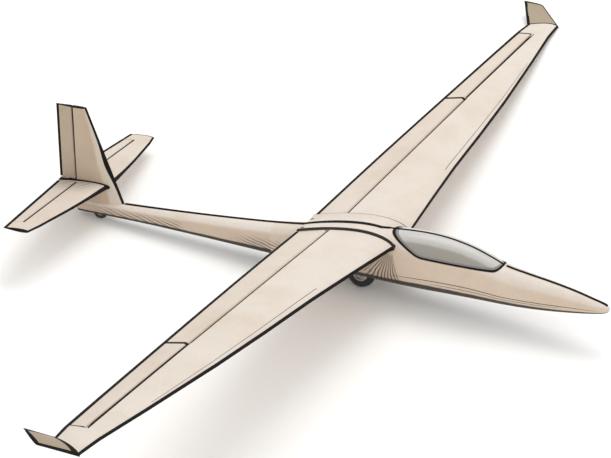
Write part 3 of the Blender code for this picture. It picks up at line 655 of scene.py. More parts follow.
# Seam bead. The two halves of the fuselage meet along the top, where a dark capping bead
# is bonded over the seam. It stops at the canopy, crosses the wings' centre joint, where
# it is widest, and ends at the fin.
BEAD_HALF = 0.022
BEAD_SWELL = 0.018
SWELL_PLACE, SWELL_REACH = 0.1, 0.6
BEAD_HEIGHT = 0.013
BEAD_FOOT = 0.010
BEAD_SINK = 0.002
BEAD_RUNS = (
    # start y, end y, ribs
    (-3.318, -2.030, 40),
    (-0.5345, 3.072, 100),
)
BEAD_END = 0.6
END_TAPER = 0.008
ROOT_CHORD = ROOT[1][1] - ROOT[0][1]


def spine_height(y):
    """Height of the fuselage's top, or of the wing joint's where that is higher."""
    share = (y - ROOT[0][1]) / ROOT_CHORD
    if not 0.0 < share < 1.0:
        return faired(y, 1)
    lift = camber_height(share, WING_CAMBER) + ROOT[2] * half_thickness(share)
    return max(faired(y, 1), ROOT[0][2] + lift * ROOT_CHORD)


def bead_rib(y, size):
    """Low rounded section of the capping bead at y, its foot sunk a little into the skin."""
    top = spine_height(y)
    half = (BEAD_HALF + BEAD_SWELL * math.exp(-((y - SWELL_PLACE) / SWELL_REACH) ** 2)) * size
    height = BEAD_HEIGHT * size + BEAD_SINK
    rib = [(half * math.cos(a), y, top - BEAD_SINK + height * math.sin(a))
           for a in spaced(0.0, math.pi, 10)]
    return rib + [(-half, y, top - BEAD_FOOT), (half, y, top - BEAD_FOOT)]


bead_runs = []
for start, end, count in BEAD_RUNS:
    stops = spaced(start + END_TAPER, end - END_TAPER, count)
    ribs = [bead_rib(y, 1.0) for y in stops]
    bead_runs.append(skinned([bead_rib(start, BEAD_END)] + ribs + [bead_rib(end, BEAD_END)]))
fit("seam_bead", joined(bead_runs), [ink], "airframe", "trim")

# Flank shade lines. Two thin dark stripes run low along each flank, from the wing to the nose, as
# painted shade strokes; they stand a little proud of the gelcoat.
FLANK_SHADE_LINES = (
    # start y, end y, ring angle at the start and at the end in degrees, width
    (-0.620, -3.230, -23.0, -9.0, 0.0085),
    (-1.150, -2.750, -29.0, -20.0, 0.0060),
)
LINE_PROUD, LINE_SUNK = 0.0009, 0.002


def flank_rib(y, angle, width, side):
    """Flat section of a stripe laid on the fuselage."""
    radius = faired(y, 3)
    rib = []
    for turn, inset in ((-1, -LINE_PROUD), (1, -LINE_PROUD), (1, LINE_SUNK), (-1, LINE_SUNK)):
        point = hull_point(y, angle + turn * width / 2 / radius, inset)
        rib.append((side * point.x, point.y, point.z))
    return rib


line_runs = []
for side in (1, -1):
    for start, end, low, high, width in FLANK_SHADE_LINES:
        ribs = []
        for share in spaced(0.0, 1.0, 60):
            angle = math.radians(low + (high - low) * share)
            taper = min(1.0, 0.25 + 4 * min(share, 1 - share))
            ribs.append(flank_rib(start + (end - start) * share, angle, width * taper, side))
        line_runs.append(skinned(ribs))
flank_shade_paint = coated("flank_shade_line_paint", (0.07, 0.052, 0.04), 0.6, grain=70.0, dust=0.02)
fit("flank_shade_lines", joined(line_runs), [flank_shade_paint], "airframe", "trim")

# Wings. Foam sandwich panels on a carbon spar, sprayed as the fuselage is. Each is cut
# away behind for its flap and aileron, which hang on a line of hinges.
WING = (
    # leading edge x, y, z, trailing edge x, y, z, thickness over chord
    (0.277, -0.671, 0.340, 0.277, 0.599, 0.340, 0.150),
    (1.260, -0.573, 0.384, 1.260, 0.574, 0.391, 0.148),
    (2.210, -0.486, 0.426, 2.210, 0.546, 0.440, 0.146),
    (3.370, -0.410, 0.477, 3.370, 0.503, 0.501, 0.143),
    (4.465, -0.325, 0.526, 4.465, 0.459, 0.558, 0.140),
    (5.889, -0.180, 0.589, 5.889, 0.402, 0.631, 0.135),
    (6.800, -0.078, 0.630, 6.760, 0.362, 0.677, 0.130),
    (7.233, -0.057, 0.649, 7.024, 0.330, 0.690, 0.125),
)
WINGLET_TOP = ((7.500, 0.271, 0.830), (7.363, 0.503, 0.912))
WINGLET_RATIO = 0.10
FLAP = (0.290, 0.232, 4.203, 0.200)
AILERON = (4.213, 0.200, 6.700, 0.178)
GAP = 0.006


def mirrored(points, side):
    """The same points on the left (1) or on the right (-1)."""
    return [(side * p[0], p[1], p[2]) for p in points]


def straight(table, key, column):
    """A column of a station table at a key, on straight lines."""
    for low, high in zip(table, table[1:]):
        if key <= high[0]:
            share = (key - low[0]) / (high[0] - low[0])
            return low[column] + share * (high[column] - low[column])
    return table[-1][column]


tip_front, tip_back = Vector(WING[-1][0:3]), Vector(WING[-1][3:6])
winglet_up = (Vector(WINGLET_TOP[0]) - tip_front).cross(tip_back - tip_front).normalized()
winglet_up = winglet_up if winglet_up.z > 0 else -winglet_up
fold_up = (winglet_up + UP).normalized()
WING_ROWS = len(WING) - 1


def wing_row(place):
    """Front, back, thickness direction and ratio at a station number, whole or not."""
    i = min(int(place), WING_ROWS - 1)
    share = place - i
    row = [a + (b - a) * share for a, b in zip(WING[i], WING[i + 1])]
    up = UP.lerp(fold_up, share) if i == WING_ROWS - 1 else UP
    return row[0:3], row[3:6], up, row[6]


def wing_point(x, y):
    """Mean-line height and half thickness of the wing at x, y, and its trailing edge."""
    front_y, front_z, back_y, back_z, ratio = (straight(WING, x, column) for column in (1, 2, 4, 5, 6))
    chord = back_y - front_y
    share = (y - front_y) / chord
    middle = front_z + (back_z - front_z) * share + camber_height(share, WING_CAMBER) * chord
    return middle, foil_half(front_y, back_y, y, ratio), back_y, back_z


def surface_rib(x, hinge_y, middle, half, back_y, back_z):
    """A control surface section: a round nose about the hinge and two flat flanks."""
    rib = []
    for angle in spaced(math.pi / 2, math.pi * 1.5, 14):
        rib.append((x, hinge_y + half * math.cos(angle), middle + half * math.sin(angle)))
    flank = spaced(0.0, 1.0, 5)
    for share in flank[1:]:
        low = middle - half + (back_z - EDGE - middle + half) * share
        rib.append((x, hinge_y + (back_y - hinge_y) * share, low))
    for share in flank[:0:-1]:
        high = middle + half + (back_z + EDGE - middle - half) * share
        rib.append((x, hinge_y + (back_y - hinge_y) * share, high))
    return rib


def on_hinge(hinge, share):
    """The place x, y on a hinge line at a share of its length."""
    inner_x, inner_y, outer_x, outer_y = hinge
    return inner_x + (outer_x - inner_x) * share, inner_y + (outer_y - inner_y) * share


def hinge_ribs(hinge, section, steps=24):
    """Ribs along a hinge line, from a function of the place x, y."""
    return [section(*on_hinge(hinge, share)) for share in spaced(0.0, 1.0, steps)]


def skin_on(side, ribs):
    """A skin over ribs, on the left (1) or on the right (-1)."""
    return skinned([mirrored(rib, side) for rib in ribs])


def surface_nose(hinge):
    """How far ahead of its hinge line a flap or an aileron needs room."""
    return wing_point(hinge[0], hinge[1])[1] + GAP


def surface_room(hinge, side):
    """The room that a flap or an aileron takes out of the wing."""
    inner_x, inner_y, outer_x, outer_y = hinge
    nose = surface_nose(hinge)
    sheet = bmesh.new()
    outline = (
        (inner_x - GAP, inner_y - nose), (outer_x + GAP, outer_y - nose),
        (outer_x + GAP, 1.0), (inner_x - GAP, 1.0))
    face = sheet.faces.new([sheet.verts.new((side * x, y, 0.0)) for x, y in outline])
    grown = bmesh.ops.extrude_face_region(sheet, geom=[face])
    moved = [item for item in grown["geom"] if isinstance(item, bmesh.types.BMVert)]
    bmesh.ops.translate(sheet, vec=(0.0, 0.0, 1.5), verts=moved)
    bmesh.ops.recalc_face_normals(sheet, faces=sheet.faces)
    return mesh_of(sheet)


FOOT_FOIL = (tip_front, tip_back, fold_up, WING[-1][6], WING_CAMBER)
HEAD_FOIL = (*WINGLET_TOP, winglet_up, WINGLET_RATIO, 0.0)
apart = Vector((JOINT, 0, 0))
winglet_foot = foil_rib(tip_front + apart, tip_back + apart, *FOOT_FOIL[2:])
winglet_head = foil_rib(*HEAD_FOIL)


def drawn_between(foot, head, shares):
    """Ribs on straight lines from one rib to another of the same count."""
    return [[Vector(a).lerp(Vector(b), share) for a, b in zip(foot, head)] for share in shares]


# Flaps, ailerons and tailplane take a slightly darker pair of painted light and painted shade colours.
FLAP_PALE, FLAP_TAN = (0.675, 0.60, 0.525), (0.56, 0.455, 0.355)
flap_cream = gelcoat("flap_cream", FLAP_PALE, FLAP_TAN)
# The winglets take a much darker copy of the gelcoat, as painted shade on their faces.
TIP_PALE, TIP_TAN = (0.37, 0.30, 0.22), (0.36, 0.285, 0.205)
tip_shaded_cream = gelcoat("winglet_shaded_cream", TIP_PALE, TIP_TAN)
SIDES = ((1, "left"), (-1, "right"))
SURFACES = (("flap_", FLAP), ("aileron_", AILERON))
wing_places = spaced(0.0, WING_ROWS, 42)
wing_ribs = [foil_rib(*wing_row(place), WING_CAMBER) for place in wing_places]
winglet_ribs = drawn_between(winglet_foot, winglet_head, spaced(0.0, 1.0, 8))


def wing_surface(x, y):
    """The section of a flap or an aileron hinged at x, y."""
    return surface_rib(x, y, *wing_point(x, y))


for side, word in SIDES:
    wing_mesh = carve(
        skin_on(side, wing_ribs),
        ("DIFFERENCE", surface_room(FLAP, side)),
        ("DIFFERENCE", surface_room(AILERON, side)),
    )
    fit("wing_skin_" + word, wing_mesh, [cream], "airframe", "gelcoat", "wing_" + word)
    for kind, hinge in SURFACES:
        surface = skin_on(side, hinge_ribs(hinge, wing_surface))
        fit(kind + "skin_" + word, surface, [flap_cream], kind + word, "gelcoat", kind + word)
    fit("winglet_skin_" + word, skin_on(side, winglet_ribs), [tip_shaded_cream], "airframe", "gelcoat",
        "winglet_" + word)

# Edge tapes. Ink-dark erosion tape is folded round every leading and trailing edge, over
# the winglet's rim and along the lips where flap and aileron meet the wing.
TAPE = 0.0011
NOSE_TAPE = (0.011, 0.024)
BACK_TAPE = 0.046
FLAP_LIP, AILERON_LIP = 0.017, 0.030
JOINT_TAPE = {"left": 0.03, "right": 0.15}
STRIP_REACH = (1.8, 4.9)
END_TAPE = 0.022
RIM_TAPE = 0.055
RIM_PROUD = 0.006
JOINT_FOOT = 0.03
WINGLET_NOSE, WINGLET_BACK = 0.030, 0.040
OUTER_EDGE = 5.905
STRIP_SHARES = (0.062, 0.067)
STRIP_PROUD = 0.0007


def nose_tape(front, back, up, ratio, camber, width):
    """A tape folded round the nose of a foil, as a closed rib."""
    depth = width / (Vector(back) - Vector(front)).length
    outer = foil_rib(front, back, up, ratio, camber, TAPE, (0.0, depth), 8)
    inner = foil_rib(front, back, up, ratio, camber, -TAPE, (0.0, depth), 8)
    return outer + inner[::-1]


def back_fold(front, back, up, ratio, camber, width=BACK_TAPE):
    """A tape folded round the trailing edge of a foil, as a closed rib."""
    start = 1.0 - width / (Vector(back) - Vector(front)).length
    return foil_rib(front, back, up, ratio, camber, TAPE, (start, 1.0), 3)


def back_tape(x, hinge_y, middle, half, back_y, back_z, width=BACK_TAPE):
    """A tape folded round the trailing edge of a control surface, as a closed rib."""
    share = width / (back_y - hinge_y)
    high = back_z + EDGE + (middle + half - back_z - EDGE) * share
    low = back_z - EDGE + (middle - half - back_z + EDGE) * share
    return [(x, back_y - width, high + TAPE), (x, back_y + TAPE, back_z + EDGE + TAPE),
            (x, back_y + TAPE, back_z - EDGE - TAPE), (x, back_y - width, low - TAPE)]


def lip_tape(x, y, width, front, back):
    """A flat tape on the upper side, just ahead of y, as a closed rib."""
    return [(x, y - width, front + TAPE), (x, y, back + TAPE * 0.7),
            (x, y, back - TAPE * 2), (x, y - width, front - TAPE * 2)]


def wing_top(x, y):
    """Height of the wing's upper side at x, y."""
    return sum(wing_point(x, y)[:2])


def end_tape(hinge, share):
    """A chordwise tape across a control surface, at a share of its span, as two ribs."""
    middle_x, y = on_hinge(hinge, share)
    ribs = []
    for x in (middle_x - END_TAPE / 2, middle_x + END_TAPE / 2):
        middle, half, back_y, back_z = wing_point(x, y)
        ribs.append(surface_rib(x, y, middle, half + TAPE, back_y, back_z))
    return ribs


def back_edge(x, y):
    """The trailing edge tape of a flap or an aileron hinged at x, y."""
    return back_tape(x, y, *wing_point(x, y))


nose_ribs = []
for place in wing_places:
    width = NOSE_TAPE[0] + (NOSE_TAPE[1] - NOSE_TAPE[0]) * place / WING_ROWS
    nose_ribs.append(nose_tape(*wing_row(place), WING_CAMBER, width))
wing_strips = [
    nose_ribs,
    [back_fold(*wing_row(place), WING_CAMBER) for place in spaced(OUTER_EDGE, WING_ROWS, 10)],
    [foil_rib(*wing_row(place), WING_CAMBER, STRIP_PROUD, STRIP_SHARES, 1)
     for place in spaced(*STRIP_REACH, 36)],
]
for hinge, width in ((FLAP, FLAP_LIP), (AILERON, AILERON_LIP)):
    nose = surface_nose(hinge)
    wing_strips.append(hinge_ribs(hinge, lambda x, y: lip_tape(
        x, y - nose, width, wing_top(x, y - nose - width), wing_top(x, y - nose))))
for foot, head in (
        (nose_tape(*FOOT_FOIL, WINGLET_NOSE), nose_tape(*HEAD_FOIL, WINGLET_NOSE)),
        (back_fold(*FOOT_FOIL, WINGLET_BACK), back_fold(*HEAD_FOIL, WINGLET_BACK))):
    wing_strips.append(drawn_between(foot, head, spaced(0.0, 1.0, 6)))
taped_winglet = (foil_rib(*FOOT_FOIL, TAPE), foil_rib(*HEAD_FOIL, TAPE))
wing_strips.append(drawn_between(*taped_winglet, (1.0 - RIM_TAPE, 1.0, 1.0 + RIM_PROUD)))
for side, word in SIDES:
    joint_strip = drawn_between(*taped_winglet, (-JOINT_FOOT, JOINT_TAPE[word]))
    tapes = [skin_on(side, strip) for strip in wing_strips + [joint_strip]]
    fit("wing_edge_tape_" + word, joined(tapes), [ink], "airframe", "trim")
    for kind, hinge in SURFACES:
        reach = END_TAPE / 2 / (hinge[2] - hinge[0])
        ends = (1.0 - reach,) if kind == "flap_" else (reach, 1.0 - reach)
        strips = [hinge_ribs(hinge, back_edge)] + [end_tape(hinge, share) for share in ends]
        tapes = [skin_on(side, strip) for strip in strips]
        fit(kind + "edge_tape_" + word, joined(tapes), [ink], kind + word, "trim")

# Wing roots. The fuselage skin swells to a low lip on each side, and a dark rubber
# moulding fills the step from the lip down to the wing.
LIP = (
    # distance from the joint towards the tip, height above the skin
    (-0.115, 0.0004), (-0.092, 0.004), (-0.068, 0.012), (-0.050, 0.020), (-0.040, 0.0235),
    (-0.036, 0.021))
SEAL = (
    # distance from the joint towards the tip, height above the skin
    (-0.0385, 0.0215), (-0.036, 0.0228), (-0.028, 0.022), (-0.014, 0.016), (-0.003, 0.008),
    (0.004, 0.001))
STUB_TAPE = (0.13, 0.279)


def root_foil(x):
    """Front, back, thickness direction, ratio and camber of the root foil, set at x."""
    return (x, *ROOT[0][1:]), (x, *ROOT[1][1:]), UP, ROOT[2], WING_CAMBER


def root_ring(profile):
    """Mouldings round both wing roots, from distances and heights."""
    ribs = [foil_rib(*root_foil(ROOT[0][0] + step), height) for step, height in profile]
    return joined([skin_on(side, ribs) for side in (1, -1)])


seal_rubber = coated("seal_rubber", (0.014, 0.012, 0.010), 0.9, grain=45.0, dust=0.02)
lips = carve(root_ring(LIP), ("DIFFERENCE", cockpit_room()))
fit("wing_root_lips", lips, [cream], "airframe", "gelcoat")
tape_ribs = [back_fold(*root_foil(x)) for x in STUB_TAPE]
stub_tapes = [skin_on(side, tape_ribs) for side in (1, -1)]
fit("wing_root_seals", joined([root_ring(SEAL)] + stub_tapes), [seal_rubber], "airframe", "rubber")

# Wing tip skids. A rounded rubber runner is bonded under each tip, which takes the wear
# when the aircraft leans on it.


def refinish(material, *names):
    """Give a solid of the frame its own finish."""
    for name in names:
        frame["nodes"][name].data.materials.clear()
        frame["nodes"][name].data.materials.append(material)


refinish(seal_rubber, "tip_skid_left", "tip_skid_right")

# Hinge horns. Each flap and aileron is driven from below by a short arm, in a small
# teardrop fairing on the wing.
HORNS = (
    # hinge line, distance along it as a share
    (FLAP, 0.22), (FLAP, 0.72), (AILERON, 0.45))
HORN_AHEAD, HORN_LENGTH, HORN_RADIUS = 0.16, 0.085, 0.013
HORN_DEPTH, HORN_POINT = 1.25, 0.55


def teardrop(x, y, z, length, radius):
    """A slim fairing hung below the wing, blunt ahead and pointed behind."""
    sheet = bmesh.new()
    bmesh.ops.create_uvsphere(sheet, u_segments=20, v_segments=14, radius=1.0)
    for vert in sheet.verts:
        along = vert.co.y
        girth = radius * (1.0 - HORN_POINT * max(0.0, along))
        vert.co = Vector((vert.co.x * girth, along * length, vert.co.z * girth * HORN_DEPTH))
    bmesh.ops.translate(sheet, vec=(x, y, z), verts=sheet.verts)
    return mesh_of(sheet)


for side, word in SIDES:
    pods = []
    for hinge, share in HORNS:
        x, y = on_hinge(hinge, share)
        middle, half = wing_point(x, y - HORN_AHEAD)[:2]
        pods.append(teardrop(side * x, y - HORN_AHEAD, middle - half, HORN_LENGTH, HORN_RADIUS))
    fit("horn_fairings_" + word, joined(pods), [cream], "airframe", "gelcoat")

# Fin and rudder. One foil, moulded with the boom; the rudder hangs on the fin's back
# edge above the tailplane.
FIN = (
    # z, leading edge y, trailing edge y
    (0.080, 3.040, 3.960),
    (0.400, 3.172, 3.976),
    (0.900, 3.382, 3.992),
    (1.387, 3.584, 4.006),
)
FIN_TOP = FIN[-1][0]
FIN_RATIO = 0.115
RUDDER_FOOT = 0.420
RUDDER_HINGE = (3.772, 3.808)
TUBE_Y = 3.735
TAIL_Z = 0.385
TUBE_HOLE = 0.0135
SIDEWAYS = Vector((1.0, 0.0, 0.0))


def fin_foil(z):
    """Front, back, thickness direction, ratio and camber of the fin at height z."""
    return (0, straight(FIN, z, 1), z), (0, straight(FIN, z, 2), z), SIDEWAYS, FIN_RATIO, 0.0


def fin_skin(grow=0.0):
    """Fin and rudder as one solid."""
    return skinned([foil_rib(*fin_foil(z), grow) for z in spaced(FIN[0][0], FIN_TOP, 24)])


def fin_half(z, y):
    """Half thickness of the fin at height z, at y."""
    return foil_half(straight(FIN, z, 1), straight(FIN, z, 2), y, FIN_RATIO)


def rudder_place(z):
    """Hinge y, half thickness there and trailing edge y at height z."""
    climb = (z - RUDDER_FOOT) / (FIN_TOP - RUDDER_FOOT)
    hinge_y = RUDDER_HINGE[0] + climb * (RUDDER_HINGE[1] - RUDDER_HINGE[0])
    return hinge_y, fin_half(z, hinge_y), straight(FIN, z, 2)


def upright(points, z):
    """A rib drawn lying down, stood up at height z."""
    return [(lift, y, z) for _, y, lift in points]


def rudder_rib(z, grow=0.0):
    """The rudder's section at height z."""
    hinge_y, half, back_y = rudder_place(z)
    return upright(surface_rib(0.0, hinge_y, 0.0, half + grow, back_y, 0.0), z)


def rudder_lip(z):
    """Where the fin ends ahead of the rudder at height z."""
    hinge_y, half = rudder_place(z)[:2]
    return hinge_y - half - GAP


def drum(centre, radius, length, axis="X", sides=32, end_radius=None):
    """A round bar or cone about an axis."""
    turn = {"X": Matrix.Rotation(math.pi / 2, 4, "Y"), "Y": Matrix.Rotation(-math.pi / 2, 4, "X"),
            "Z": Matrix.Identity(4)}[axis]
    sheet = bmesh.new()
    bmesh.ops.create_cone(
        sheet, cap_ends=True, segments=sides, radius1=radius,
        radius2=radius if end_radius is None else end_radius, depth=length,
        matrix=Matrix.Translation(centre) @ turn)
    return mesh_of(sheet)


FOOT_GAP = 0.012
FIN_WIDE = 0.2
BEHIND, ABOVE = 4.2, 1.6
TAIL_SWEEP = ((3.715, -0.1), (BEHIND, -0.1), (BEHIND, 0.30), (3.975, 0.30), (3.715, 0.02))
rudder_room = (
    (rudder_lip(RUDDER_FOOT), RUDDER_FOOT - FOOT_GAP), (BEHIND, RUDDER_FOOT - FOOT_GAP),
    (BEHIND, ABOVE), (rudder_lip(FIN_TOP), ABOVE))
tube_hole = drum((0.0, TUBE_Y, TAIL_Z), TUBE_HOLE, 0.6)
fin_mesh = carve(
    fin_skin(),
    ("DIFFERENCE", skinned([frame_rib(y, -JOINT) for y in spaced(2.5, BOOM_END + JOINT, 20)])),
    ("DIFFERENCE", side_plate(TAIL_SWEEP, -FIN_WIDE, FIN_WIDE)),
    ("DIFFERENCE", side_plate(rudder_room, -FIN_WIDE, FIN_WIDE)),
    ("DIFFERENCE", tube_hole),
)
# Painted light: a pale strip behind the fin's front edge.
LIT_STRIP_COLOUR = (0.64, 0.555, 0.46)
LIT_STRIP_LINE, LIT_STRIP_SLOPE, LIT_STRIP_EDGE = 3.231, 0.276, 0.02


def painted_lit_strip(paint, colour):
    """Painted light: the strip behind the front edge of the fin painted pale, wider towards the foot.
    """
    along, height = paint.axes()[1:]
    line = paint.maths("SUBTRACT", along, paint.times(height, LIT_STRIP_SLOPE))
    line = paint.plus(line, paint.ramp(paint.noise(3.0, 3.0), 0.3, 0.7, -LIT_STRIP_EDGE, LIT_STRIP_EDGE))
    pale = paint.ramp(line, LIT_STRIP_LINE + LIT_STRIP_EDGE, LIT_STRIP_LINE - LIT_STRIP_EDGE)
    return paint.mix(pale, colour, LIT_STRIP_COLOUR)


# Fin and rudder take darker copies of the cream gelcoat, as painted shade on their sides.
fin_shaded_cream = gelcoat("fin_shaded_cream", (0.56, 0.46, 0.35), (0.55, 0.44, 0.33), extra=painted_lit_strip)
rudder_shaded_cream = gelcoat("rudder_shaded_cream", (0.50, 0.415, 0.32), (0.485, 0.395, 0.30))
fit("fin_skin", fin_mesh, [fin_shaded_cream], "airframe", "gelcoat", "fin")
rudder_heights = spaced(RUDDER_FOOT, FIN_TOP, 12)
rudder_mesh = skinned([rudder_rib(z) for z in rudder_heights])
fit("rudder_skin", rudder_mesh, [rudder_shaded_cream], "rudder", "gelcoat", "rudder")

# Fin tapes. The same dark tape goes round the fin's front edge, along its lip, over its
# top, and down the rudder's trailing edge.
TOP_BAND = (FIN_TOP - 0.013, FIN_TOP + TAPE)
# The fin's nose tape widens mid-height as painted shade along the edge.
FIN_NOSE, NOSE_SHADE_SWELL = 0.022, 0.030
SWELL_MIDDLE, SWELL_SPREAD = 0.66, 0.19
NOSE_FOOT = 0.170
FIN_LIP, LIP_DEPTH = 0.016, 0.003
RUDDER_BACK = 0.034


def fin_nose(z):
    """The tape round the fin's front edge at height z, widened mid-height as painted shade along the
    edge.
    """
    swell = NOSE_SHADE_SWELL * math.exp(-((z - SWELL_MIDDLE) / SWELL_SPREAD) ** 2)
    return nose_tape(*fin_foil(z), FIN_NOSE + swell)


def fin_lip(z):
    """The tape on the fin's left side just ahead of the rudder, as a closed rib."""
    y = rudder_lip(z)
    x = fin_half(z, y)
    return [(x + TAPE, y - FIN_LIP, z), (x + TAPE, y, z), (x - LIP_DEPTH, y, z),
            (x - LIP_DEPTH, y - FIN_LIP, z)]


def rudder_back(z):
    """The tape round the rudder's trailing edge at height z."""
    hinge_y, half, back_y = rudder_place(z)
    return upright(back_tape(0.0, hinge_y, 0.0, half, back_y, 0.0, RUDDER_BACK), z)


def band(rib, axis, places):
    """A rib set at two places along an axis, as the ribs of an end cap."""
    return [[[*point[:axis], place, *point[axis + 1:]] for point in rib] for place in places]


top_front, top_back = straight(FIN, FIN_TOP, 1), straight(FIN, FIN_TOP, 2)
top_share = (rudder_lip(FIN_TOP) - top_front) / (top_back - top_front)
fin_cap = foil_rib(*fin_foil(FIN_TOP), TAPE, (0.0, top_share))
lip_ribs = [fin_lip(z) for z in rudder_heights]
fin_tapes = [
    skinned([fin_nose(z) for z in spaced(NOSE_FOOT, FIN_TOP, 24)]),
    skin_on(1, lip_ribs),
    skin_on(-1, lip_ribs),
    skinned(band(fin_cap, 2, TOP_BAND)),
]
fit("fin_edge_tape", joined(fin_tapes), [ink], "airframe", "trim")
rudder_tapes = [
    skinned([rudder_back(z) for z in rudder_heights]),
    skinned(band(rudder_rib(FIN_TOP, TAPE), 2, TOP_BAND)),
]
fit("rudder_edge_tape", joined(rudder_tapes), [ink], "rudder", "trim")

# Tailplane and elevator. Two fixed halves bolted to the fin, and two elevator halves on
# one torque tube that runs through it.
TAILPLANE = (
    # x, leading edge y, trailing edge y
    (0.000, 3.262, 3.977),
    (0.900, 3.372, 3.914),
    (1.500, 3.462, 3.872),
    (1.712, 3.510, 3.857),
)
TAIL_RATIO = 0.11
ELEVATOR_X = (0.105, 1.500)
TAIL_TIP = TAILPLANE[-1][0]
TAIL_BACK = 0.045
# The tailplane's nose tape widens towards the fin as painted shade under the edge.
TAIL_NOSE, ROOT_SHADE_SWELL, ROOT_SPREAD = 0.022, 0.024, 0.4
TAIL_BAND = 0.014


def tail_foil(x):
    """Front, back, thickness direction, ratio and camber of the tailplane at x."""
    return ((x, straight(TAILPLANE, x, 1), TAIL_Z), (x, straight(TAILPLANE, x, 2), TAIL_Z), UP,
            TAIL_RATIO, 0.0)


def tail_half(x, y):
    """Half thickness of the tailplane at x, y."""
    return foil_half(straight(TAILPLANE, x, 1), straight(TAILPLANE, x, 2), y, TAIL_RATIO)


def elevator_place(x):
    """What surface_rib and back_tape ask for at x on the elevator."""
    return x, TUBE_Y, TAIL_Z, tail_half(x, TUBE_Y), straight(TAILPLANE, x, 2), TAIL_Z


def tail_nose(x):
    """The tape round the tailplane's front edge at x, wider towards the fin as painted shade under the
    edge.
    """
    return nose_tape(*tail_foil(x), TAIL_NOSE + ROOT_SHADE_SWELL * math.exp(-(x / ROOT_SPREAD) ** 2))


def tail_lip(x):
    """The tape on the tailplane just ahead of the elevator at x."""
    front, back = (TAIL_Z + tail_half(x, y) for y in (elevator_lip - TAIL_LIP, elevator_lip))
    return lip_tape(x, elevator_lip, TAIL_LIP, front, back)


elevator_lip = TUBE_Y - (tail_half(ELEVATOR_X[0], TUBE_Y) + GAP)
elevator_xs = spaced(*ELEVATOR_X, 12)
tail_xs = spaced(0.05, 0.9, 8) + spaced(0.9, 1.5, 6)[1:] + spaced(1.5, TAIL_TIP, 4)[1:]
ROOT_SHADE = (0.44, 0.08)
FRONT_SHADE = (3.38, 3.54)
ROOT_STROKES, ROOT_WANDER = 135.0, 2.2
TAIL_LIP = 0.021


def root_shade_hatching(paint, colour):
    """Fore and aft strokes of painted shade near the fin, one behind the other away from it."""
    out, along = paint.axes()[:2]
    out = paint.maths("ABSOLUTE", out)
    wander = paint.ramp(paint.noise(4.0, 2.0), 0.0, 1.0, -ROOT_WANDER, ROOT_WANDER)
    strokes = paint.times(
        paint.ramp(paint.stroke(out, ROOT_STROKES, wander), 0.1, 0.8),
        paint.ramp(out, *ROOT_SHADE), paint.ramp(along, *FRONT_SHADE))
    return paint.mix(strokes, colour, HATCH_SHADE)


# The tailplane's gelcoat carries strokes of painted shade near the fin root.
tail_cream = gelcoat("tail_cream", FLAP_PALE, FLAP_TAN, extra=root_shade_hatching)
ROOT_FILLET = (
    # distance from the middle, height above the skin
    (0.0, 0.0065), (0.066, 0.0065), (0.072, 0.004), (0.075, 0.001))
TIP_BACK = ELEVATOR_X[1] + GAP + 0.002
tail_ribs = [foil_rib(*tail_foil(x)) for x in [JOINT / 2] + tail_xs]
elevator_ribs = [surface_rib(*elevator_place(x)) for x in elevator_xs]
elevator_backs = [back_tape(*elevator_place(x), width=TAIL_BACK) for x in elevator_xs]
tail_strips = (
    [tail_nose(x) for x in tail_xs],
    [back_fold(*tail_foil(x), width=TAIL_BACK) for x in spaced(TIP_BACK, TAIL_TIP, 4)],
    [tail_lip(x) for x in elevator_xs],
    band(foil_rib(*tail_foil(TAIL_TIP), TAPE), 0, (TAIL_TIP - TAIL_BAND, TAIL_TIP + TAPE)),
    [foil_rib(*tail_foil(x), grow) for x, grow in ROOT_FILLET],
)
for side, word in SIDES:
    ends = sorted((side * (ELEVATOR_X[0] - GAP), side * (ELEVATOR_X[1] + GAP)))
    tail_mesh = carve(
        skin_on(side, tail_ribs),
        ("DIFFERENCE", fin_skin(JOINT)),
        ("DIFFERENCE", brick((ends[0], elevator_lip, 0.2), (ends[1], BEHIND, 0.6))),
        ("DIFFERENCE", tube_hole),
    )
    fit("tailplane_skin_" + word, tail_mesh, [tail_cream], "airframe", "gelcoat", "tailplane_" + word)
    fit("elevator_skin_" + word, skin_on(side, elevator_ribs), [tail_cream], "elevator", "gelcoat",
        "elevator_" + word)
    fit("elevator_edge_tape_" + word, skin_on(side, elevator_backs), [ink], "elevator", "trim")
    tapes = joined([skin_on(side, strip) for strip in tail_strips])
    fit("tailplane_edge_tape_" + word, tapes, [ink], "airframe", "trim")
steel = coated("dark_steel", (0.22, 0.22, 0.225), 0.42, 1.0, grain=160.0, depth=0.0002)
refinish(steel, "elevator_torque_tube")

# Canopy. A blown acrylic bubble tinted grey, bonded to a grey laminate frame that hinges
# at its front edge, with a dark rubber seal round the rim and a dark strip on the crown.
FRAME_WIDTH = 0.045
GLASS = 0.006
SEAL_WIDTH = 0.020
CANOPY_GAP = 0.0055
# Painted light on the canopy's crown and painted shade on its sides, split by lean.
CROWN_LIGHT_EDGE = (0.66, 0.78)
SIDE_PAINTED_SHADE, CROWN_PAINTED_LIGHT = (0.44, 0.41, 0.36), (0.66, 0.64, 0.61)
ACRYLIC_IOR = 1.49
RIM_FADE = (0.1, 0.75, 0.66, 0.98)
SEAL_PROUD, SEAL_SUNK = 0.0015, 0.004
bubble_stations = spaced(-2.12, -0.50, 60)


def bubble(inset=0.0, points=96):
    """The fuselage's outline over the length of the canopy."""
    return skinned([frame_rib(y, inset, points) for y in bubble_stations])


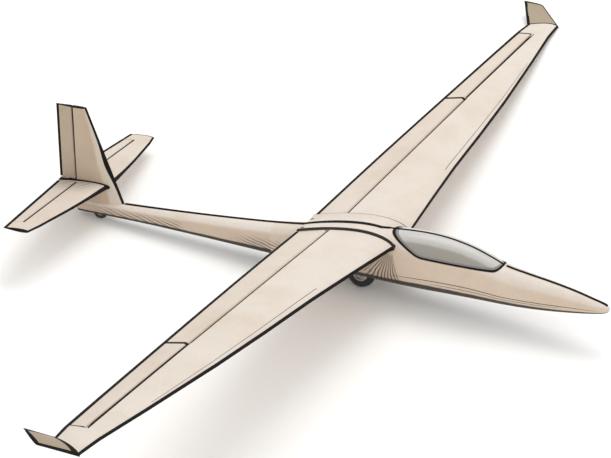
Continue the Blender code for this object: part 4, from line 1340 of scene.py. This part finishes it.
def tinted_acrylic():
    """Grey acrylic, painted paler over the crown as painted light and darker on the sides as painted
    shade, dimmer along its thickness, with faint haze.
    """
    paint = Paint("tinted_acrylic")
    haze = paint.noise(9.0, 4.0)
    lean = paint.plus(paint.lean(), paint.ramp(haze, 0.3, 0.7, -0.01, 0.01))
    colour = paint.mix(paint.ramp(lean, *CROWN_LIGHT_EDGE, smooth=True), SIDE_PAINTED_SHADE, CROWN_PAINTED_LIGHT)
    paint.shader.inputs["IOR"].default_value = ACRYLIC_IOR
    rim = paint.tree.nodes.new("ShaderNodeLayerWeight")
    rim.inputs["Blend"].default_value = 0.35
    paint.link(paint.ramp(rim.outputs["Facing"], *RIM_FADE), paint.shader.inputs["Alpha"])
    return paint.finish(colour, paint.ramp(haze, 0.0, 1.0, 0.16, 0.28))


acrylic = tinted_acrylic()
frame_grey = coated("frame_laminate", (0.20, 0.20, 0.19), 0.5, grain=110.0)
frame_mesh = carve(
    bubble(),
    ("INTERSECT", canopy_block(CANOPY_GAP)),
    ("DIFFERENCE", bubble(WALL, 64)),
    ("DIFFERENCE", canopy_block(FRAME_WIDTH)),
)
fit("canopy_rim", frame_mesh, [frame_grey], "canopy", "gelcoat", "canopy_frame")
glass_mesh = carve(
    bubble(),
    ("INTERSECT", canopy_block(FRAME_WIDTH + JOINT)),
    ("DIFFERENCE", bubble(GLASS)),
)
fit("canopy_bubble", glass_mesh, [acrylic], "canopy", "canopy_glass", "canopy_glass")
seal_mesh = carve(
    bubble(-SEAL_PROUD),
    ("INTERSECT", canopy_block(CANOPY_GAP)),
    ("DIFFERENCE", bubble(SEAL_SUNK)),
    ("DIFFERENCE", canopy_block(CANOPY_GAP + SEAL_WIDTH)),
)
CROWN = (-2.000, -0.541)
CROWN_NOSE, CROWN_SIZE = 0.55, 0.75
crown_ribs = [bead_rib(y, CROWN_SIZE) for y in spaced(*CROWN, 50)]
crown_ribs[0] = bead_rib(CROWN[0], CROWN_NOSE)
fit("canopy_seal", joined([seal_mesh, skinned(crown_ribs)]), [ink], "canopy", "rubber")

# Main wheel. A grooved aircraft tyre on a two-part cast rim, between two steel legs; the
# rim halves are held by six bolts, and the axle ends in a nut and washer on each side.
TYRE = (
    # outer radius, width, rim radius
    0.180, 0.125, 0.095)
AXLE = 0.014
GROOVE_DEPTH = 0.0045
MAIN_GROOVES = ((0.0, 0.0032), (0.017, 0.0032), (0.034, 0.0032))
BEAD_TURN = 0.62
BOLT_RING = 0.056
BOLT_HEAD = (
    # distance from the middle, radius, thickness
    0.0195, 0.0065, 0.006)
WASHER = (0.0885, 0.022, 0.0025)
NUT = (0.0900, 0.0185, 0.0035)


def spun(profile, centre, steps=96):
    """A closed profile of radius, x points spun about a wheel's axle."""
    sheet = bmesh.new()
    ring = [sheet.verts.new((x, 0.0, radius)) for radius, x in profile]
    edges = [sheet.edges.new(pair) for pair in zip(ring, ring[1:] + ring[:1])]
    bmesh.ops.spin(sheet, geom=ring + edges, cent=(0, 0, 0), axis=(1, 0, 0), angle=math.tau,
                   steps=steps, use_merge=True)
    bmesh.ops.remove_doubles(sheet, verts=sheet.verts, dist=0.00001)
    bmesh.ops.recalc_face_normals(sheet, faces=sheet.faces)
    bmesh.ops.translate(sheet, vec=centre, verts=sheet.verts)
    return mesh_of(sheet)


def tyre_section(radius, width, rim, grooves):
    """Tyre section with circumferential grooves in its crown, given as x and half width."""
    half = width / 2
    height = (radius - rim - JOINT) / 2
    middle = rim + JOINT + height
    profile = []
    for angle in spaced(math.pi * BEAD_TURN, -math.pi * BEAD_TURN, 64):
        x, reach = half * math.sin(angle), height * math.cos(angle)
        if reach > 0:
            for groove, groove_half in grooves:
                if abs(abs(x) - groove) < groove_half:
                    reach -= GROOVE_DEPTH
        profile.append((middle + reach, x))
    profile += [(rim + JOINT, -half * BEAD_TURN), (rim + JOINT, half * BEAD_TURN)]
    return profile


def rim_section(rim, width, axle):
    """Section of a cast rim: flanges, web and hub, its corners softened."""
    half, web = width * 0.33, width * 0.14
    hub, lip, soft = axle * 2.2, rim * 0.86, rim * 0.03
    bore = axle + 0.0008
    return [(rim, half), (rim, -half), (lip + soft, -half), (lip, -half + soft), (lip, -web - soft),
            (lip - soft, -web), (hub + soft, -web), (hub, -web - soft), (hub, -half), (bore, -half),
            (bore, half), (hub, half), (hub, web + soft), (hub + soft, web), (lip - soft, web),
            (lip, web + soft), (lip, half - soft), (lip + soft, half)]


def around(count, radius, start=0.0):
    """Places y, z evenly round a circle."""
    turns = [start + math.tau * i / count for i in range(count)]
    return [(radius * math.cos(turn), radius * math.sin(turn)) for turn in turns]


def drilled(rim, centre, count, ring, radius, sides=32):
    """A rim with a ring of lightening holes through its web."""
    holes = [drum((0.0, centre.y + y, centre.z + z), radius, 0.1, sides=sides)
             for y, z in around(count, ring)]
    return carve(rim, *(("DIFFERENCE", hole) for hole in holes))


def both_sides(y, z, size, sides=32):
    """A round or six-sided piece on each side of a wheel."""
    out, radius, thickness = size
    return [drum((x * out, y, z), radius, thickness, sides=sides) for x in (-1, 1)]


tyre_rubber = coated("tyre_rubber", (0.030, 0.029, 0.028), 0.88, grain=55.0, spread=0.4)
alloy = coated("cast_alloy", (0.52, 0.52, 0.51), 0.45, 1.0, grain=140.0, depth=0.0003)
bright_steel = coated("bolt_steel", (0.50, 0.50, 0.49), 0.3, 1.0, grain=200.0, depth=0.0001)
hub = MAIN_HUB
tyre_mesh = spun(tyre_section(*TYRE, MAIN_GROOVES), hub, 128)
fit("main_tyre_skin", tyre_mesh, [tyre_rubber], "main_wheel", "tyre", "main_tyre", sharp=24.0)
rim_mesh = drilled(spun(rim_section(TYRE[2], TYRE[1], AXLE), hub), hub, 6, BOLT_RING, 0.013)
fit("main_rim_skin", rim_mesh, [alloy], "main_wheel", "alloy", "main_rim")
bolts = []
for y, z in around(6, BOLT_RING, math.pi / 6):
    bolts += both_sides(hub.y + y, hub.z + z, BOLT_HEAD, 6)
valve = drum((0.030, hub.y, hub.z + 0.072), 0.0035, 0.030)
fit("main_rim_bolts", joined(bolts + [valve]), [bright_steel], "main_wheel", "steel")
refinish(steel, "main_gear_leg_left", "main_gear_leg_right", "main_axle", "tail_axle")
nuts = both_sides(hub.y, hub.z, WASHER) + both_sides(hub.y, hub.z, NUT, 6)
fit("axle_nuts", joined(nuts), [bright_steel], "airframe", "steel")

# Tail wheel. A small solid tyre with one groove on each shoulder, on an alloy disc with
# five holes. It turns on a plain axle across the slot in the boom.
SMALL_TYRE = (0.100, 0.050, 0.055)
SMALL_AXLE = 0.007
SMALL_GROOVES = ((0.008, 0.0016),)
tail = TAIL_HUB
tail_tyre_mesh = spun(tyre_section(*SMALL_TYRE, SMALL_GROOVES), tail)
fit("tail_tyre_skin", tail_tyre_mesh, [tyre_rubber], "tail_wheel", "tyre", "tail_tyre", sharp=24.0)
tail_disc = spun(rim_section(SMALL_TYRE[2], SMALL_TYRE[1], SMALL_AXLE), tail)
tail_rim_mesh = drilled(tail_disc, tail, 5, 0.033, 0.0065, 20)
fit("tail_rim_skin", tail_rim_mesh, [alloy], "tail_wheel", "alloy", "tail_rim")

# Tow hook. A steel plate flush with the belly, with the slot, hook and release arm that
# hold the ring of a launch cable.
HOOK = ((-0.025, -0.840, -0.232), (0.025, -0.690, -0.204))
HOOK_SLOT = ((-0.009, -0.815, -0.300), (0.009, -0.735, -0.216))
HOOK_ARM = (
    # y, z, corner radius, in side view
    (-0.800, -0.222, 0.0),
    (-0.798, -0.238, 0.006),
    (-0.770, -0.238, 0.006),
    (-0.768, -0.231, 0.003),
    (-0.785, -0.229, 0.003),
    (-0.786, -0.215, 0.0),
)
SCREW_PLACES = [(x, y) for x in (-0.017, 0.017) for y in (-0.828, -0.702)]
hook_plate = carve(brick(*HOOK, bevel=0.002), ("DIFFERENCE", brick(*HOOK_SLOT)))
hook_arm = side_plate(rounded(HOOK_ARM, 4), -0.004, 0.004)
screws = [drum((x, y, HOOK[0][2]), 0.004, 0.002, "Z", 16) for x, y in SCREW_PLACES]
fit("tow_hook_plate", joined([hook_plate, hook_arm] + screws), [steel], "airframe", "steel", "tow_hook")

# Seat. A laminate pan bolted across the cockpit, with a stuffed seat cushion and a
# stuffed back cushion, both in ribbed cloth and piped round the edge.
refinish(cockpit_liner, "seat_pan")
PADS = (
    # name, node, half width, line of y, z
    ("seat_cushion_pad", "seat_cushion", 0.138,
     ((-1.385, -0.080), (-1.325, -0.103), (-1.180, -0.122), (-1.105, -0.112))),
    ("back_cushion_pad", "back_cushion", 0.168,
     ((-1.036, -0.057), (-0.980, 0.008), (-0.794, 0.239))),
)
PAD_THICKNESS = 0.030
PAD_SWELL = 0.007
STUFFING_STEPS = 20
CHANNEL_STEP = 0.055
CHANNEL_DEPTH = 0.005
CHANNEL_WIDTH = 0.006
CHANNEL_EDGE = 0.02
PIPING_RADIUS = 0.0028
PIPING_SHARES = (0.0, 0.08, 0.5, 0.92)


def thickened(line, thickness):
    """A side-view line of y, z points given a thickness, as a closed outline."""
    upper, lower = [], []
    for i, point in enumerate(line):
        here = Vector(point)
        before = (here - Vector(line[i - 1])).normalized() if i else None
        after = (Vector(line[i + 1]) - here).normalized() if i + 1 < len(line) else None
        along = ((before or after) + (after or before)).normalized()
        normal = Vector((-along.y, along.x)) * thickness / 2
        upper.append(tuple(here + normal))
        lower.append(tuple(here - normal))
    return upper + lower[::-1]


def stuffed(mesh, furthest, voxel=0.006):
    """Blow a pad up like a stuffed cushion, no point moving further than given."""
    pad = bpy.data.objects.new("stuffing", mesh)
    bpy.context.scene.collection.objects.link(pad)
    even = pad.modifiers.new("even", "REMESH")
    even.mode = "VOXEL"
    even.voxel_size = voxel
    graph = bpy.context.evaluated_depsgraph_get()
    pad.data = bpy.data.meshes.new_from_object(pad.evaluated_get(graph))
    pad.modifiers.clear()
    start = [vert.co.copy() for vert in pad.data.vertices]
    cloth = pad.modifiers.new("stuffing", "CLOTH")
    cloth.settings.use_pressure = True
    cloth.settings.uniform_pressure_force = 4.0
    cloth.settings.effector_weights.gravity = 0.0
    for frame_number in range(STUFFING_STEPS):
        bpy.context.scene.frame_set(frame_number + 1)
    graph = bpy.context.evaluated_depsgraph_get()
    blown = bpy.data.meshes.new_from_object(pad.evaluated_get(graph))
    for vert, home in zip(blown.vertices, start):
        move = vert.co - home
        if move.length > furthest:
            vert.co = home + move * (furthest / move.length)
    pad.modifiers.clear()
    pad.data = blown
    bpy.context.scene.frame_set(1)
    blown = pad.data
    bpy.data.objects.remove(pad, do_unlink=True)
    return blown


def sewn(mesh, half):
    """Press the sewn channels into a stuffed pad, lengthwise and CHANNEL_STEP apart."""
    normals = [vert.normal.copy() for vert in mesh.vertices]
    for vert, normal in zip(mesh.vertices, normals):
        nearest = round(vert.co.x / CHANNEL_STEP) * CHANNEL_STEP
        if abs(nearest) < half - CHANNEL_EDGE:
            away = (vert.co.x - nearest) / CHANNEL_WIDTH
            vert.co -= normal * CHANNEL_DEPTH * math.exp(-away * away) * (1 - abs(normal.x))
    return mesh


def cloth_weave(name, dark, light):
    """Ribbed upholstery cloth with a soft sheen."""
    paint = Paint(name)
    weave = paint.tree.nodes.new("ShaderNodeTexWave")
    weave.inputs["Scale"].default_value = 170.0
    weave.inputs["Distortion"].default_value = 1.2
    paint.link(paint.level.outputs["Vector"], weave.inputs["Vector"])
    fuzz = paint.noise(420.0, 4.0)
    patch = paint.noise(14.0, 4.0)
    tone = paint.mix(weave.outputs["Fac"], dark, light)
    tone = paint.mix(paint.ramp(patch, 0.35, 0.75, 0.0, 0.4), tone, tuple(0.7 * c for c in dark))
    paint.shader.inputs["Sheen Weight"].default_value = 0.35
    height = paint.plus(weave.outputs["Fac"], paint.times(fuzz, 0.6))
    return paint.finish(tone, paint.ramp(patch, 0.0, 1.0, 0.85, 0.98), height, 0.0008, 0.6)


upholstery = cloth_weave("seat_cloth", (0.20, 0.17, 0.135), (0.34, 0.295, 0.24))
piping_cloth = coated("piping_cloth", (0.10, 0.085, 0.07), 0.9, grain=200.0)


def rim_piping(line, half):
    """Piping sewn round a pad: a thin tube on a rounded rectangle that follows the line."""
    upper = thickened(line, PAD_THICKNESS)[:len(line)]
    corners = [Vector((-half, *p)) for p in upper] + [Vector((half, *p)) for p in upper[::-1]]
    points = []
    for a, b in zip(corners, corners[1:] + corners[:1]):
        points += [a.lerp(b, share) for share in PIPING_SHARES]
    curve = bpy.data.curves.new("piping", "CURVE")
    curve.dimensions = "3D"
    curve.bevel_depth = PIPING_RADIUS
    curve.bevel_resolution = 3
    spline = curve.splines.new("NURBS")
    spline.points.add(len(points) - 1)
    for target, point in zip(spline.points, points):
        target.co = (*point, 1.0)
    spline.use_cyclic_u = True
    spline.order_u = 3
    spline.resolution_u = 8
    tube = bpy.data.objects.new("piping", curve)
    bpy.context.scene.collection.objects.link(tube)
    graph = bpy.context.evaluated_depsgraph_get()
    mesh = bpy.data.meshes.new_from_object(tube.evaluated_get(graph))
    bpy.data.objects.remove(tube, do_unlink=True)
    return mesh


def smoothed(piece):
    """One level of subdivision, the same in the viewport and in the render."""
    soft = piece.modifiers.new("soft", "SUBSURF")
    soft.levels = 1
    soft.render_levels = 1
    return piece


for name, node, half, line in PADS:
    block = side_plate(thickened(line, PAD_THICKNESS), -half, half)
    shape = sewn(stuffed(block, PAD_SWELL), half)
    pad = fit(name, shape, [upholstery], "airframe", "cushion", node, sharp=180.0)
    smoothed(pad)
    fit(name + "_piping", rim_piping(line, half + 0.001), [piping_cloth], "airframe", "cushion")

# Headrest. A small foam block on the cockpit's rear wall, covered in the seat's cloth and
# stuffed as the cushions are.
HEADREST = ((-0.084, -0.644, 0.276), (0.084, -0.581, 0.384))
rest_mesh = stuffed(brick(*HEADREST, bevel=0.010), 0.006)
headrest = fit("headrest_pad", rest_mesh, [upholstery], "airframe", "cushion", "headrest", sharp=180.0)
smoothed(headrest)

# Harness. Two shoulder belts come over the seat back to a round quick-release buckle,
# which two lap belts join from the sides. The webbing is woven, 44 mm wide.
BUCKLE = Vector((0.0, -1.120, -0.055))
BUCKLE_TILT = math.radians(-30)
BELTS = (
    # x outwards, y, z from the anchor to the buckle: a shoulder belt and a lap belt
    ((0.075, -0.700, 0.330), (0.078, -0.790, 0.283), (0.074, -0.890, 0.165),
     (0.064, -0.985, 0.050), (0.045, -1.060, -0.025), (0.018, -1.110, -0.052)),
    ((0.185, -1.020, -0.070), (0.165, -1.055, -0.040), (0.120, -1.085, -0.042),
     (0.070, -1.105, -0.050), (0.020, -1.118, -0.054)),
)
BELT_HALF, WEBBING_HALF = 0.022, 0.0011
BODY_SLOPE = Vector((0.0, -0.55, 0.83))


def curved(points, count):
    """Points on a smooth curve through the given ones."""
    line = []
    for i in range(count + 1):
        place = i / count * (len(points) - 1)
        k = min(int(place), len(points) - 2)
        share = place - k
        a, b, c, d = (Vector(points[min(max(k + j, 0), len(points) - 1)]) for j in (-1, 0, 1, 2))
        line.append(0.5 * (2 * b + (c - a) * share + (2 * a - 5 * b + 4 * c - d) * share ** 2
                           + (3 * b - a - 3 * c + d) * share ** 3))
    return line


def heading(line, i):
    """The direction of a line of points at one of them."""
    return (line[min(i + 1, len(line) - 1)] - line[max(i - 1, 0)]).normalized()


def belt(points, side):
    """A flat belt along a curve, lying on what is below it."""
    line = [Vector((side * p.x, p.y, p.z)) for p in curved(points, 40)]
    corners = ((-1, 1), (1, 1), (1, -1), (-1, -1))
    ribs = []
    for i, here in enumerate(line):
        along = heading(line, i)
        out = along.cross(BODY_SLOPE).normalized()
        flat = out.cross(along).normalized()
        if flat.z < 0:
            flat = -flat
        ribs.append([here + out * BELT_HALF * a + flat * WEBBING_HALF * b for a, b in corners])
    return skinned(ribs)


webbing = cloth_weave("harness_webbing", (0.028, 0.030, 0.040), (0.075, 0.080, 0.100))
belts = [belt(points, side) for points in BELTS for side in (1, -1)]
fit("harness_belts", joined(belts), [webbing], "airframe", "cushion")
buckle_parts = [
    drum((0, 0, 0.004), 0.030, 0.010, "Z", 40),
    drum((0, 0, 0.011), 0.022, 0.006, "Z", 40, 0.019),
]
for a, b in around(4, 0.012):
    buckle_parts.append(brick((a - 0.004, b - 0.004, 0.012), (a + 0.004, b + 0.004, 0.017), 0.0015))
buckle_mesh = joined(buckle_parts)
buckle_mesh.transform(Matrix.Translation(BUCKLE) @ Matrix.Rotation(BUCKLE_TILT, 4, "X"))
fit("harness_buckle", buckle_mesh, [bright_steel], "airframe", "steel")

# Instrument panel. A crackle-black plate on a pedestal, with round instruments in it,
# their dials marked with plain ticks and needles, under a short glare shield.
crackle = coated("crackle_black", (0.035, 0.035, 0.036), 0.75, grain=240.0, depth=0.0006)
refinish(crackle, "instrument_panel", "panel_pedestal", "side_console_left", "side_console_right")
PANEL_FACE = -1.760
DIALS = (
    # x, z, radius, needle angle from upright in degrees
    (-0.088, 0.178, 0.040, -70.0),
    (0.088, 0.178, 0.040, 35.0),
    (0.000, 0.205, 0.0285, 0.0),
    (0.000, 0.125, 0.0285, 120.0),
    (-0.100, 0.080, 0.0285, 200.0),
    (0.100, 0.080, 0.0285, -140.0),
)
BEZEL = ((1.0, -0.002), (1.0, 0.0035), (0.97, 0.006), (0.88, 0.006), (0.85, -0.002))
FACE_SHARE, FACE_THICKNESS = 0.87, 0.0024
MARK_FACES = (0.0024, 0.0034)
TICK = (
    # length, half width and inner end, the first and the last as shares of the dial's radius
    0.16, 0.0011, 0.66)
NEEDLE = (0.80, 0.0016, -0.14)
TICKS = 12
dial_black = coated("dial_black", (0.012, 0.012, 0.013), 0.5, grain=90.0)
dial_white = coated("dial_white", (0.80, 0.80, 0.76), 0.6, grain=90.0, spread=0.05)
bezels, faces, marks = [], [], []
for x, z, radius, needle in DIALS:
    centre = Vector((x, PANEL_FACE, z))
    bezel = spun([(radius * share, depth) for share, depth in BEZEL], (0, 0, 0), 48)
    bezel.transform(Matrix.Translation(centre) @ Matrix.Rotation(math.pi / 2, 4, "Z"))
    bezels.append(bezel)
    face_centre = centre + Vector((0, FACE_THICKNESS / 2, 0))
    faces.append(drum(face_centre, radius * FACE_SHARE, FACE_THICKNESS, "Y", 40))
    turns = [(math.tau * i / TICKS, TICK) for i in range(TICKS)] + [(math.radians(needle), NEEDLE)]
    for turn, (length, width, inner) in turns:
        low = (-width, MARK_FACES[0], radius * inner)
        mark = brick(low, (width, MARK_FACES[1], radius * (inner + length)))
        mark.transform(Matrix.Translation(centre) @ Matrix.Rotation(turn, 4, "Y"))
        marks.append(mark)
fit("instrument_bezels", joined(bezels), [crackle], "airframe", "trim")
fit("instrument_dials", joined(faces), [dial_black], "airframe", "trim")
fit("instrument_marks", joined(marks), [dial_white], "airframe", "trim")
SHIELD = ((0.178, 0.150), (0.172, 0.215), (0.110, 0.268), (0.0, 0.276))
SHIELD_STATIONS = (
    # y, flare
    (-1.865, 0.0), (-1.800, 0.0), (-1.735, 0.004))
SHIELD_WALL = 0.004
shield_points = [(x, z, 0.0) for x, z in SHIELD] + [(-x, z, 0.0) for x, z in SHIELD[-2::-1]]
shield_line = [(p.x, p.y) for p in curved(shield_points, 32)]
shield_ribs = []
for y, flare in SHIELD_STATIONS:
    outer = [(x * (1 + flare * 5), y, z + flare) for x, z in shield_line]
    inner = [(x * 0.975, y, z - SHIELD_WALL) for x, y, z in outer]
    shield_ribs.append(outer + inner[::-1])
fit("glare_shield", skinned(shield_ribs), [crackle], "airframe", "trim")

# Controls. A black steel stick with a moulded grip and a rubber gaiter stands before the
# seat. The flap lever, the green trim knob and the red canopy handle are on the left
# console, and the yellow release knob is on the instrument panel.
STICK = ((0.0, -1.500, -0.185), (0.0, -1.482, -0.095), (0.0, -1.468, -0.020), (0.0, -1.448, 0.088))
SHAFT_RADII = [0.0100] * 16
GRIP_RADII = (0.0145, 0.017, 0.0155, 0.0185, 0.0165, 0.019, 0.0175, 0.010)
GAITER_RADII = [0.052 - 0.0045 * i + (0.004 if i % 2 else -0.003) for i in range(9)]
LEVER_KNOB_RADII = (0.004, 0.010, 0.012, 0.012, 0.010, 0.004)
KNOB_RADII = (0.004, 0.004, 0.009, 0.013, 0.014, 0.012, 0.006)


def swept(points, radii, sides=20):
    """A round tube of changing radius along a smooth line."""
    line = curved(points, len(radii) - 1) if len(points) != len(radii) else [Vector(p) for p in points]
    ribs = []
    for i, here in enumerate(line):
        along = heading(line, i)
        first = along.cross(SIDEWAYS if abs(along.x) < 0.9 else UP).normalized()
        second = along.cross(first)
        ribs.append([here + (first * math.cos(a) + second * math.sin(a)) * radii[i]
                     for a in spaced(0.0, math.tau, sides)[:-1]])
    return skinned(ribs)


shaft = swept(STICK, SHAFT_RADII)
grip = swept(STICK[2:], GRIP_RADII, 28)
button = drum((0.0, -1.4465, 0.089), 0.005, 0.006, "Z", 20)
fit("stick_and_grip", joined([shaft, grip, button]), [crackle], "airframe", "trim", "control_stick")
gaiter = swept(((0.0, -1.505, -0.205), (0.0, -1.490, -0.140)), GAITER_RADII, 32)
fit("stick_gaiter", gaiter, [seal_rubber], "airframe", "rubber")
lever_arm = swept(((0.212, -1.300, 0.030), (0.206, -1.300, 0.075)), [0.006] * 4)
lever_knob = swept(((0.206, -1.330, 0.082), (0.206, -1.270, 0.082)), LEVER_KNOB_RADII)
slide = brick((0.204, -1.420, 0.0285), (0.220, -1.180, 0.0325), 0.0015)
fit("flap_lever", joined([lever_arm, lever_knob, slide]), [crackle], "airframe", "trim")
KNOBS = (
    # name, colour, foot and top of the turned knob
    ("release_knob", (0.72, 0.52, 0.05), ((-0.120, -1.756, 0.020), (-0.120, -1.712, 0.020))),
    ("trim_knob", (0.05, 0.28, 0.10), ((0.212, -1.500, 0.030), (0.212, -1.500, 0.062))),
    ("canopy_handle", (0.60, 0.05, 0.04), ((0.225, -1.150, 0.030), (0.225, -1.150, 0.066))),
)
for name, colour, ends in KNOBS:
    knob = swept(ends, KNOB_RADII, 24)
    knob_paint = coated(name + "_paint", colour, 0.45, grain=80.0, spread=0.08)
    fit(name, knob, [knob_paint], "airframe", "trim")

# Rudder pedals. Two alloy plates on one steel cross tube, with ribbed rubber treads bonded
# to the faces that the feet press.
PEDAL_X, TREAD_HALF = 0.100, 0.034
TREAD_FACES = (-2.3955, -2.390)
TREAD_HEIGHT = 0.008
refinish(alloy, "rudder_pedal_left", "rudder_pedal_right")
treads = []
for side in (1, -1):
    for z in spaced(-0.150, -0.045, 5):
        low = (side * PEDAL_X - TREAD_HALF, TREAD_FACES[0], z)
        high = (side * PEDAL_X + TREAD_HALF, TREAD_FACES[1], z + TREAD_HEIGHT)
        treads.append(brick(low, high, 0.0015))
fit("pedal_treads", joined(treads), [seal_rubber], "airframe", "rubber")
cross_tube = drum((0.0, -2.410, -0.150), 0.009, 0.300)
fit("pedal_tube", cross_tube, [steel], "airframe", "steel")
